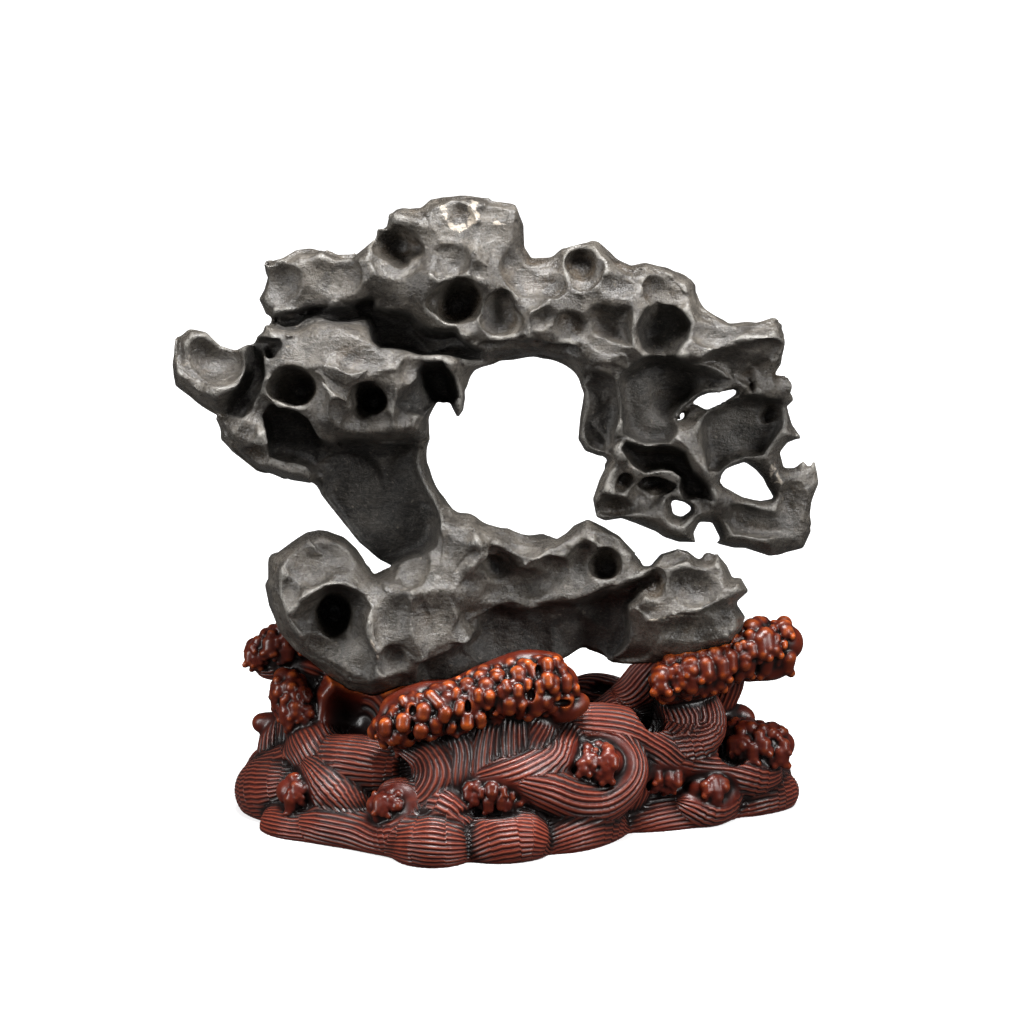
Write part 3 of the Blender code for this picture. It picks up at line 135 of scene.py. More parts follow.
# recesses sunk in the rock's face: outline, width of the rounded wall, and the middle and half
# thickness of what is taken out at a few places, as for a lobe
ALCOVES = [
    ([(-149, 297), (-141, 300), (-124, 302), (-105, 305), (-91, 307), (-86, 307), (-85, 303),
      (-72, 301), (-63, 297), (-58, 292), (-43, 288), (-37, 287), (-32, 282), (-22, 278), (-22, 274),
      (-33, 274), (-43, 275), (-53, 277), (-68, 278), (-80, 280), (-84, 284), (-86, 292), (-89, 296),
      (-99, 295), (-115, 298), (-122, 296), (-132, 291), (-139, 292), (-144, 295)], 4,
     [(-130, 297, 20, 28), (-90, 298, 20, 29), (-60, 288, 20, 28), (-30, 278, 20, 24)]),
    ([(-157, 285), (-150, 285), (-141, 284), (-139, 280), (-143, 274), (-146, 274), (-149, 278),
      (-150, 272), (-151, 261), (-153, 253), (-157, 243), (-163, 239), (-172, 241), (-169, 247),
      (-164, 255), (-161, 266), (-159, 278)], 5, [(-155, 270, 26, 20), (-160, 245, 26, 18)]),
    ([(-144, 244), (-130, 243), (-122, 237), (-116, 226), (-110, 222), (-99, 223), (-84, 222),
      (-61, 223), (-57, 210), (-52, 190), (-46, 174), (-48, 163), (-58, 156), (-72, 151), (-82, 151),
      (-96, 161), (-107, 175), (-115, 189), (-116, 205), (-125, 210), (-136, 212), (-146, 217),
      (-150, 226), (-149, 238)], 7, [(-88, 206, 24, 29), (-100, 180, 24, 29), (-136, 230, 28, 19),
                        (-62, 172, 26, 26), (-54, 200, 26, 24)]),
    ([(-58, 266), (-53, 270), (-43, 269), (-37, 261), (-36, 251), (-39, 246), (-47, 246), (-54, 239),
      (-64, 241), (-69, 247), (-64, 255), (-59, 261)], 6, [(-47, 256, 34, 30), (-62, 247, 40, 12)]),
    ([(74, 292), (76, 301), (83, 308), (94, 304), (102, 294), (101, 285), (96, 277), (90, 272),
      (82, 273), (76, 280)], 9, [(88, 290, 31, 25)]),
    ([(42, 297), (45, 303), (52, 307), (60, 303), (67, 301), (69, 292), (67, 282), (57, 282),
      (45, 288)], 9, [(57, 294, 35, 14)]),
    ([(63, 260), (65, 266), (74, 272), (82, 274), (94, 274), (107, 269), (121, 265), (131, 261),
      (121, 256), (111, 254), (101, 246), (96, 238), (94, 229), (90, 223), (77, 224), (65, 228),
      (63, 238)], 7, [(93, 250, 26, 30), (72, 250, 28, 18), (117, 262, 30, 20), (88, 228, 28, 18)]),
    ([(38, 267), (48, 264), (59, 261), (61, 256), (60, 238), (58, 222), (52, 218), (43, 221),
      (40, 230), (41, 245)], 6, [(50, 245, 34, 18)]),
    ([(97, 272), (111, 272), (128, 281), (143, 284), (160, 281), (151, 271), (145, 255), (143, 250),
      (134, 256), (121, 265), (107, 269)], 8,
     [(142, 279, 32, 8), (142, 260, 34, 26), (115, 269, 32, 16)]),
    ([(67, 222), (82, 221), (101, 217), (107, 206), (116, 196), (117, 189), (106, 189), (99, 190),
      (97, 197), (100, 204), (94, 207), (77, 206), (69, 212), (64, 218)], 5,
     [(85, 213, 30, 22), (108, 197, 28, 20)]),
    ([(55, 191), (69, 190), (85, 190), (92, 187), (89, 181), (82, 178), (69, 179), (56, 180),
      (52, 186)], 5, [(68, 185, 38, 12)]),
    ([(117, 244), (128, 248), (144, 250), (158, 249), (160, 244), (158, 231), (153, 221), (148, 216),
      (136, 216), (127, 212), (121, 206), (116, 206), (111, 221), (112, 234)], 6,
     [(140, 232, 12, 16), (118, 220, 20, 20)]),
    ([(128, 186), (153, 185), (171, 184), (176, 172), (171, 165), (151, 168), (131, 168),
      (125, 177)], 5, [(150, 176, 18, 12)]),
    ([(-137, 119), (-128, 127), (-113, 137), (-104, 136), (-92, 134), (-88, 125), (-90, 111),
      (-87, 99), (-84, 87), (-86, 81), (-98, 81), (-114, 89), (-128, 103), (-134, 113)], 15,
     [(-107, 121, 52, 27), (-118, 101, 54, 13), (-94, 90, 54, 11), (-95, 128, 50, 16)]),
    ([(-58, 90), (-45, 96), (-33, 102), (-23, 110), (-20, 119), (-11, 125), (6, 123), (18, 125),
      (32, 127), (46, 130), (62, 134), (70, 133), (66, 128), (68, 117), (66, 105), (58, 92), (40, 84),
      (0, 74), (-40, 70), (-60, 76)], 6,
     [(-45, 88, 44, 12), (-10, 110, 30, 20), (20, 110, 28, 22), (55, 112, 28, 27)]),
]

# raised ridges on the rock's face: points (u, v), radius, how far the axis lies under the face
RIDGES = [
    ([(-149, 330), (-138, 331), (-131, 318), (-129, 306)], 4, 2),
    ([(-143, 301), (-128, 303), (-108, 306), (-90, 309)], 5, 1),
    ([(-97, 333), (-90, 320), (-84, 311)], 6, 4),
    ([(-88, 304), (-78, 301), (-68, 304), (-60, 297)], 5, 2),
    ([(-50, 292), (-38, 292), (-29, 288)], 5, 0),
    ([(-52, 342), (-50, 322), (-55, 305), (-50, 293)], 7, 4),
    ([(-24, 338), (-18, 318), (-22, 300), (-14, 286)], 6, 4),
    ([(-10, 283), (2, 288), (5, 300)], 4, 1),
    ([(30, 334), (34, 321), (46, 320), (51, 331)], 4, 1),
    ([(97, 275), (106, 272), (120, 279), (133, 285), (160, 283)], 6, 1),
    ([(69, 303), (71, 292), (70, 281), (76, 273)], 5, 2),
    ([(91, 228), (101, 222), (108, 212), (117, 202), (130, 195)], 5, -1),
    ([(68, 207), (84, 208), (100, 206)], 5, 0),
    ([(100, 190), (115, 194)], 4, 0),
    ([(52, 190), (58, 205), (64, 218)], 6, 1),
    ([(150, 164), (155, 176), (157, 188)], 4, 1),
    ([(128, 252), (140, 246), (146, 240)], 4, 0),
    ([(156, 272), (148, 260), (142, 249)], 5, 0),
    ([(-201, 265), (-194, 257), (-187, 253), (-179, 251)], 4, -2),
    ([(-138, 292), (-120, 296), (-108, 298), (-92, 292), (-76, 283), (-60, 279)], 5, 2),
    ([(-146, 261), (-136, 267), (-124, 267), (-116, 269), (-107, 267), (-97, 262), (-84, 268),
      (-72, 266), (-66, 274), (-58, 277), (-43, 270), (-32, 271)], 5, 1),
    ([(-117, 262), (-108, 248), (-106, 234), (-110, 224)], 6, 2),
    ([(-72, 262), (-70, 248), (-73, 232)], 5, 1),
    ([(-34, 268), (-32, 254), (-35, 242)], 4, 0),
    ([(-108, 224), (-85, 221), (-60, 222)], 4, 1),
    ([(-135, 121), (-126, 131), (-115, 139), (-102, 134)], 4, 1),
    ([(-88, 125), (-87, 106), (-81, 96), (-80, 84)], 5, 2),
    ([(-60, 135), (-66, 122), (-62, 112), (-57, 96)], 5, 2),
    ([(-30, 102), (-24, 112), (-20, 120), (-8, 123), (12, 127), (28, 131), (36, 128)], 5, 1),
    ([(-50, 177), (-37, 171), (-22, 168), (-5, 163), (8, 161), (22, 166)], 4, 1),
    ([(-24, 166), (-20, 156), (-26, 149)], 4, -2),
    ([(-1, 147), (14, 155), (30, 164)], 6, -2),
    ([(42, 161), (50, 168), (62, 166), (69, 157)], 4, 0),
    ([(38, 128), (54, 134), (72, 141), (80, 149)], 4, 0),
    ([(80, 117), (100, 120), (118, 128), (130, 131)], 5, 0),
    ([(76, 149), (79, 138), (77, 126)], 5, 1),
    ([(42, 176), (36, 164), (30, 150)], 4, 2),
]
KNOBS = [(-80, 295, 7, 3), (160, 257, 6, 2), (57, 234, 8, 4), (-60, 279, 7, 4), (107, 240, 7, 4),
         (-30, 288, 5, 1), (115, 155, 4, 1), (63, 217, 6, 2), (124, 114, 9, 5)]

# shallow scoops in the face: u, v, half width, half height, depth, turn in degrees
SCOOPS = [
    (-143, 318, 13, 13, 7, 0), (-114, 322, 17, 14, 5, 0), (-62, 340, 21, 14, 6, 0),
    (-35, 358, 7, 8, 5, 0), (-12, 360, 10, 5, 4, -15), (-66, 338, 16, 12, 6, 0),
    (-9, 350, 12, 17, 4, 0), (5, 326, 10, 12, 4, 0), (-24, 324, 8, 7, 4, 0),
    (20, 318, 9, 8, 4, 0), (65, 318, 14, 8, 4, 0), (92, 314, 13, 9, 4, 0), (-95, 325, 8, 10, 3, 20),
    (33, 291, 10, 9, 7, 0), (16, 296, 7, 6, 5, 0), (120, 290, 12, 7, 3, 0), (145, 230, 14, 13, 9, 0),
    (120, 226, 10, 12, 7, 30),
    (80, 191, 12, 9, 10, 0), (110, 185, 6, 8, 6, 0), (138, 176, 11, 9, 8, 0), (166, 188, 8, 14, 5, 0),
    (152, 262, 7, 8, 3, 0), (100, 265, 8, 7, 4, 0), (75, 240, 8, 10, 6, 0), (-180, 272, 18, 14, 15, -20),
    (-168, 247, 13, 4, 8, 25), (-92, 280, 17, 10, 3, -12), (-60, 266, 8, 8, 5, 0),
    (-64, 241, 8, 13, 8, 0), (-86, 233, 13, 9, 6, 0),
    (-119, 243, 8, 11, 5, 0), (-105, 236, 7, 10, 4, 0), (-156, 240, 12, 9, 5, -20),
    (-165, 228, 9, 7, 3, -30), (-126, 152, 13, 12, 4, 0), (-105, 157, 13, 9, 4, 0),
    (-137, 138, 9, 12, 4, 0), (-75, 116, 10, 18, 6, 0), (-72, 90, 9, 9, 4, 0), (-43, 117, 16, 17, 5, 0),
    (-46, 146, 16, 13, 5, 0), (-64, 152, 9, 14, 5, 20), (0, 136, 17, 8, 5, 10), (18, 143, 12, 8, 5, 20),
    (40, 148, 8, 12, 6, 0), (98, 110, 20, 8, 6, 5), (62, 128, 14, 6, 6, 22), (108, 138, 17, 12, 9, 0),
    (120, 146, 6, 6, 4, 0), (124, 116, 7, 10, 4, 0), (60, 165, 9, 5, 3, -30), (92, 156, 9, 5, 4, 0),
    (-115, 96, 13, 8, 4, -30), (26, 276, 10, 5, 3, 10), (-5, 279, 13, 5, 3, 0), (-45, 230, 6, 12, 4, 0),
    (-135, 208, 14, 6, 4, -10), (8, 312, 10, 9, 4, 0), (100, 300, 10, 7, 3, 0),
]
# deep pits in the face: u, v, half width, half height, depth, turn in degrees
PITS = [
    (-71, 340, 12, 10, 17, 0), (-37, 331, 10, 11, 9, 0), (-36, 306, 13, 12, 24, 0),
    (-9, 298, 10, 12, 10, 0), (40, 329, 8, 8, 13, 0), (86, 290, 10, 10, 10, 0),
    (-131, 255, 12, 10, 24, 0), (-138, 232, 9, 9, 8, 15), (-153, 216, 8, 5, 7, -10),
    (-87, 247, 9, 8.5, 24, 0), (-47, 257, 7, 8, 8, 0), (-76, 287, 6, 5, 6, 0),
    (-107, 121, 11, 13, 37, 0),
    (-10, 149, 10, 6, 8, -35), (55, 149, 9, 8, 15, 0), (54, 130, 20, 2.6, 12, 24),
    (50, 113, 12, 8, 8, 0),
    (84, 138, 6, 8, 12, 0), (94, 251, 7, 10, 8, -20), (79, 230, 2.5, 2.5, 6, 0), (87, 232, 3, 3, 6, 0),
    (64, 199, 5, 6, 10, 0), (58, 184, 10, 4, 14, -10),
    (150, 240, 6, 5, 10, 0), (129, 232, 6, 8, 10, 20), (84, 198, 8, 4, 10, 0),
]
# the same on the rock's back
BACK_SCOOPS = [
    (-180, 270, 15, 13, 8, 0), (-150, 262, 15, 17, 5, 20), (-112, 282, 20, 14, 7, 0),
    (-120, 232, 18, 15, 8, 0),
    (-82, 262, 17, 18, 8, 0), (-62, 232, 13, 12, 6, 0), (-128, 318, 17, 12, 6, 0),
    (-88, 328, 16, 17, 7, 0),
    (-44, 350, 20, 13, 6, 0), (-44, 312, 17, 17, 8, 0), (-4, 336, 14, 22, 6, 0), (-6, 294, 15, 13, 7, 0),
    (32, 320, 16, 12, 6, 0), (36, 286, 16, 13, 7, 0), (76, 312, 18, 11, 6, 0), (80, 280, 17, 15, 8, 0),
    (122, 280, 18, 12, 7, 0), (64, 248, 14, 18, 7, 0), (98, 222, 14, 15, 4, 0), (142, 236, 15, 14, 6, 0),
    (72, 196, 15, 12, 3, 0), (146, 172, 16, 10, 3, 0), (-90, 206, 17, 18, 4, 0), (-62, 172, 17, 16, 5, 0),
    (-120, 146, 17, 15, 6, 0), (-110, 108, 19, 16, 4, 0), (-70, 108, 17, 20, 7, 0),
    (-34, 138, 19, 17, 7, 0),
    (2, 140, 16, 15, 6, 0), (38, 150, 15, 14, 6, 0), (36, 118, 16, 12, 6, 0), (76, 128, 16, 15, 7, 0),
    (110, 132, 17, 14, 7, 0), (100, 108, 14, 9, 5, 0),
]
BACK_PITS = [
    (-138, 262, 9, 9, 10, 0), (-84, 262, 9, 10, 14, 0), (-104, 240, 9, 8, 12, 0), (-90, 330, 8, 9, 14, 0),
    (-20, 318, 10, 9, 18, 0), (58, 302, 10, 9, 18, 0), (120, 276, 8, 7, 14, 0), (66, 262, 8, 9, 14, 0),
    (120, 226, 6, 7, 6, 0), (-76, 188, 8, 9, 6, 0), (-104, 106, 10, 9, 7, 0), (-40, 128, 10, 9, 16, 0),
    (24, 134, 9, 8, 14, 0), (84, 124, 9, 9, 14, 0),
]

# ---- the stand ----
# solid heart of the block: x, height of the middle, f, half width, half height, half depth, turn
CORES = [(-6, 6, -14, 138, 40, 64, -12), (-66, 2, -52, 70, 24, 34, -8), (84, 2, 6, 56, 20, 34, -14),
         (122, 2, -38, 34, 16, 30, -20)]
# the mass the waves stand on, seen from the front, as for a lobe of the rock
MASS = [(-162, 4), (-160, 26), (-152, 37), (-137, 46), (-126, 56), (-123, 74), (-114, 86), (-84, 84),
        (-66, 84), (-40, 84), (10, 86), (26, 76), (40, 60), (56, 50), (68, 56), (76, 70), (92, 76),
        (112, 72), (121, 60), (122, 46), (150, 33), (161, 24), (161, 3), (110, -8), (62, -12),
        (10, -26), (-44, -30), (-90, -22), (-140, -14), (-156, -6)]
MASS_PLACES = [
    (-150, 20, -7, 22), (-128, 40, -4, 34), (-115, 24, -2, 42), (-100, 10, 4, 50), (-92, 30, 2, 47),
    (-98, 58, -14, 27), (-80, -8, 15, 61), (-66, 28, 0, 44), (-45, 25, 11, 61), (-45, -12, 22, 72),
    (0, -12, 18, 68), (-50, 60, 5, 51), (-12, 50, 6, 57), (0, 12, 12, 63), (31, 27, 2, 52),
    (30, 52, -2, 48), (10, 72, 0, 42), (35, 5, 9, 59), (62, 14, 1, 51), (58, 47, -4, 40),
    (80, 58, -17, 23), (90, 38, -5, 34), (104, 60, -13, 24), (84, 20, -2, 38), (90, 0, -8, 32),
    (122, 8, -13, 27), (118, 38, -15, 20), (150, 12, -24, 15), (148, 30, -20, 15),
]
MASS_EDGE = 12
# waves that lie on the floor: points (x, f, height of the axis, radius)
FLOOR_WAVES = [
    [(-122, 24, 26, 12), (-141, 10, 18, 19), (-153, -6, 12, 17)],
    [(-128, -10, 24, 16), (-150, -30, 12, 17)],
    [(-143, 34, 2, 11), (-130, 44, 2, 13), (-108, 52, 2, 12), (-92, 62, 3, 10)],
    [(-66, 86, 6, 10), (-50, 96, 8, 18), (-34, 90, 6, 10)],
    [(-32, 84, 0, 9), (-14, 88, 8, 17), (2, 86, 10, 16), (9, 80, 2, 8)],
    [(12, 75, 2, 10), (28, 66, 8, 18), (44, 52, 8, 17), (58, 40, 1, 8)],
    [(56, 32, 2, 8), (76, 26, 4, 14), (98, 18, 5, 14), (122, 6, 8, 12)],
    [(126, 0, 4, 8), (140, -4, 7, 13), (156, -12, 8, 11), (162, -20, 8, 8)],
    [(138, -10, 22, 12), (148, -22, 20, 14), (154, -40, 8, 13)],
    [(150, -52, 4, 12), (132, -66, 7, 17), (112, -76, 3, 12)],
    [(114, -76, 2, 12), (92, -86, 8, 18), (68, -90, 2, 12)],
    [(68, -88, 4, 12), (44, -92, 8, 18), (20, -92, 2, 12)],
    [(22, -90, 3, 12), (-4, -94, 8, 18), (-28, -92, 2, 12)],
    [(-26, -90, 3, 12), (-52, -90, 8, 18), (-76, -84, 2, 12)],
    [(-74, -84, 3, 12), (-98, -76, 8, 18), (-120, -62, 3, 12)],
    [(-118, -64, 3, 12), (-138, -48, 8, 18), (-152, -28, 3, 12)],
    [(-124, -34, 24, 14), (-84, -58, 30, 18), (-44, -66, 24, 14)],
    [(-44, -62, 34, 14), (-2, -68, 32, 18), (40, -64, 24, 14)],
    [(36, -56, 34, 14), (82, -54, 32, 18), (124, -40, 22, 13)],
]
# waves that rise above them: points (u, v, f, radius)
WAVES = [
    [(-112, 22, 36, 9), (-118, 34, 28, 12), (-126, 46, 16, 9)],
    [(-118, 24, 40, 9), (-106, 14, 46, 15), (-96, 4, 56, 10)],
    [(-116, 32, 28, 9), (-96, 31, 42, 14), (-74, 27, 50, 12), (-62, 28, 54, 8)],
    [(-118, -6, 54, 10), (-98, -9, 64, 10), (-80, -12, 76, 10), (-66, -9, 84, 11), (-59, 1, 82, 9),
     (-64, 12, 78, 7), (-76, 14, 76, 5)],
    [(-64, 44, 64, 8), (-50, 38, 68, 11), (-45, 24, 72, 12), (-52, 10, 78, 10), (-62, 4, 80, 7)],
    [(-50, 5, 82, 7), (-42, 4, 86, 9), (-34, -2, 88, 7)],
    [(-32, 22, 76, 9), (-31, 38, 68, 10), (-36, 50, 66, 9)],
    [(-20, 24, 76, 9), (-18, 40, 68, 10), (-16, 58, 64, 9)],
    [(-6, 26, 74, 9), (-3, 42, 66, 10), (-2, 60, 62, 9)],
    [(8, 28, 70, 9), (10, 44, 62, 10), (14, 60, 58, 9)],
    [(-16, 22, 82, 7), (4, 26, 78, 9), (22, 33, 68, 8), (28, 44, 56, 9)],
    [(6, 20, 82, 7), (20, 16, 76, 10), (36, 10, 68, 10), (52, 9, 60, 9), (64, 18, 54, 8),
     (67, 30, 48, 8), (60, 41, 44, 8), (44, 46, 46, 8), (28, 43, 50, 7)],
    [(26, 52, 46, 9), (44, 52, 40, 12), (62, 50, 34, 12), (78, 42, 30, 10), (92, 34, 26, 8)],
    [(112, 66, 8, 9), (113, 52, 12, 10), (104, 42, 18, 10), (88, 40, 24, 8), (78, 44, 26, 6)],
    [(98, 66, 10, 12), (100, 54, 12, 12), (92, 46, 18, 9)],
    [(104, 30, 20, 8), (120, 27, 12, 10), (138, 24, 4, 11), (150, 25, -4, 9)],
    [(68, 12, 36, 7), (72, 24, 36, 7), (84, 32, 30, 6), (98, 30, 26, 6)],
    [(104, 6, 28, 6), (116, 3, 24, 7), (126, 10, 14, 6), (126, 20, 10, 5)],
    [(-145, 28, -8, 8), (-143, 40, -10, 9), (-141, 52, -12, 8)],
    [(-155, 28, -22, 5), (-148, 32, -20, 5)],
    [(50, 55, -2, 9), (62, 61, 2, 10), (74, 74, 4, 10), (86, 89, 6, 11)],
    [(118, 46, -14, 8), (123, 64, -16, 6), (131, 84, -14, 7)],
    [(38, 72, -42, 7), (50, 70, -40, 10), (64, 67, -36, 10)],
    [(-126, 40, -6, 14), (-126, 60, -6, 13), (-124, 84, -8, 9)],
    [(-152, 88, -14, 5), (-138, 90, -12, 7), (-124, 86, -8, 9)],
]
# crests, heads and posts: points (u, v, f, radius), and the radius of the foam's knobs, which is
# 0 where the wood is smooth
CRESTS = [
    ([(-78, 50, 68, 8), (-66, 58, 71, 12), (-44, 66, 72, 12), (-18, 74, 69, 14), (8, 79, 64, 16),
      (26, 80, 60, 14)], 7.5),
    ([(-72, 64, 66, 9), (-56, 72, 66, 8), (-38, 75, 64, 7), (-16, 84, 62, 8), (4, 91, 58, 8),
      (22, 91, 56, 7)], 0),
    ([(18, 63, 62, 7), (30, 64, 62, 7), (38, 68, 58, 6)], 0),
    ([(-159, 95, -12, 7), (-151, 99, -10, 9), (-140, 104, -8, 10), (-126, 101, -8, 10)], 6),
    ([(-140, 82, 6, 8), (-134, 70, 10, 12), (-128, 58, 12, 12), (-121, 49, 14, 8)], 6.5),
    ([(-154, 54, -14, 6), (-144, 54, -12, 6)], 0),
    ([(86, 80, 30, 8), (98, 85, 28, 11), (114, 90, 22, 12), (132, 98, 14, 13), (150, 103, 6, 14),
      (162, 103, 2, 14)], 7),
    ([(90, 73, 24, 7), (108, 77, 18, 8), (124, 82, 12, 8)], 0),
    ([(100, 103, 6, 6), (112, 104, 2, 6), (128, 104, -4, 8)], 0),
    ([(136, 88, 8, 8), (154, 90, 6, 9), (161, 91, 4, 6)], 0),
    ([(130, 44, -2, 12), (146, 42, 0, 13), (160, 41, -4, 11)], 6.5),
    ([(124, 52, -10, 9), (134, 59, -18, 6), (140, 57, -18, 5)], 0),
    ([(-28, 15, 81, 9), (-12, 15, 85, 10), (2, 13, 79, 9)], 6),
    ([(-136, 14, 42, 10), (-125, 14, 42, 11)], 6), ([(-83, 7, 81, 8), (-69, 8, 83, 9)], 5.5),
    ([(37, 32, 62, 11), (55, 32, 58, 12)], 6), ([(110, 16, 25, 10), (121, 15, 21, 10)], 6),
    ([(82, 24, 34, 8), (95, 22, 30, 8)], 5.5),
    ([(-98, 56, -50, 9), (-80, 62, -56, 12), (-62, 62, -58, 10)], 6.5),
    ([(88, 52, -48, 9), (104, 60, -48, 12), (116, 64, -44, 9)], 6.5),
    ([(-20, 50, -80, 10), (-4, 50, -82, 9)], 6), ([(46, 42, -84, 9), (60, 42, -82, 9)], 6),
    ([(-124, 36, -62, 9), (-112, 38, -66, 9)], 6),
]
# hollows carved in the stand: u, v, f and their three half sizes
HOLLOWS = [
    (-66, 30, 68, 8, 8, 6), (78, 56, 26, 11, 12, 14), (31, 27, 62, 8, 8, 10),
    (96, 81, 42, 9, 6, 10), (11, 75, 78, 4, 5, 12), (31, 69, 72, 7, 3, 12), (85, 18, 38, 9, 4, 9),
    (112, 7, 28, 8, 3, 5), (130, 36, 14, 10, 8, 10), (-14, 3, 100, 20, 4, 12), (52, 75, -24, 11, 5, 10),
    (-72, 48, 82, 8, 4, 8), (-42, 57, 84, 5, 6, 10), (-12, 61, 84, 9, 5, 12),
]

# pale veins in the rock's face: points (u, v) and half width
VEINS = [([(-43, 362), (-40, 354), (-35, 350), (-29, 352), (-26, 357), (-25, 365)], 2.2),
         ([(-26, 360), (-25, 355)], 3.6), ([(-12, 354), (-8, 352)], 2.0), ([(153, 208), (157, 200)], 3.2),
         ([(-87, 106), (-84, 100), (-82, 94)], 0.7), ([(80, 117), (90, 119), (100, 120)], 0.9)]
# knobs of the front crest (u, v to u, v, radius) and the gaps drilled in it (u, v, half sizes)
FRONT_KNOBS = [
    (-67, 70, -66, 68, 2.6), (-57, 71, -57, 69, 3.0), (-54.6, 64, -55, 61, 4.3), (-66.6, 58, -67, 55, 4.0),
    (-56.3, 53, -57, 51, 4.0), (-47.7, 57, -48, 54, 4.0), (-77, 55, -77, 52, 4.0),
    (-50.3, 72.4, -45.2, 67.3, 3.3), (-35.3, 74.6, -36, 72, 2.8), (-33.2, 67, -34, 64, 3.2),
    (-29, 60, -29, 56, 3.8), (-21.2, 60, -21, 56, 3.0),
    (-22, 74, -22, 71, 3.0), (-16, 73, -16, 69, 3.4), (-9.2, 76, -9, 73, 3.0), (-5.8, 79.5, -5, 77, 2.8),
    (1.1, 77, 1, 74, 2.6), (-4, 69, -4, 65, 4.0), (2.8, 67.3, 2, 61, 2.8), (7, 91, 9.7, 83.6, 3.0),
    (18.7, 92, 19, 89, 3.2), (23.4, 93, 24, 90, 2.8), (18.7, 83, 19, 80, 3.8), (29, 82, 29, 78, 4.0),
    (34.5, 77, 35, 73, 3.0), (-42, 63, -43, 60, 3.6), (-70, 49, -71, 47, 3.4), (-38, 55, -39, 53, 3.0)]
FRONT_GAPS = [(-61.5, 64, 2.2, 3.4), (-28.5, 66.5, 2.0, 3.6), (9, 73, 2.4, 3.8), (28, 68, 5.5, 2.4),
              (13, 88, 1.6, 3.0), (-62, 49, 2.2, 2.4)]
FLOOR_PATHS = [[(x, height * COS_LEAN - f * SIN_LEAN, f, radius) for x, f, height, radius in path]
               for path in FLOOR_WAVES]
# how black each recess is painted: partly the dull dark stone, partly painted shade
SHADE_AND_SOOT = [1, 1, 1, 1, 0.8, 0.4, 0.8, 0.6, 0.15, 0.7, 0.7, 0.75, 0.5, 0.25, 0.8]
# how amber the lacquer of each crest is
SHINES = [1, 1, 1, 0.5, 0.7, 0.3, 1, 1, 0.8, 0.9, 0.3, 0.2] + [0.25] * 40


# ---- signed distances on a grid, in the drawing's axes ----
def sheet_depth(v, f):
    """Distance off the drawing sheet, toward the viewer, of a point at height v and forward f."""
    return (f + v * SIN_LEAN) / COS_LEAN


def sheet_height(height, f):
    """Height v on the sheet of a point at a height over the floor and forward f."""
    return height * COS_LEAN - f * SIN_LEAN


def sheet_turn(degrees):
    """Axes turned in the sheet."""
    across, up = math.cos(math.radians(degrees)), math.sin(math.radians(degrees))
    return np.array([(across, up, 0), (-up, across, 0), (0, 0, 1)])


def smooth_low(a, b, blend):
    """The lower of two fields, their meeting rounded over a distance."""
    share = np.clip(0.5 + 0.5 * (b - a) / blend, 0, 1)
    return b + (a - b) * share - blend * share * (1 - share)


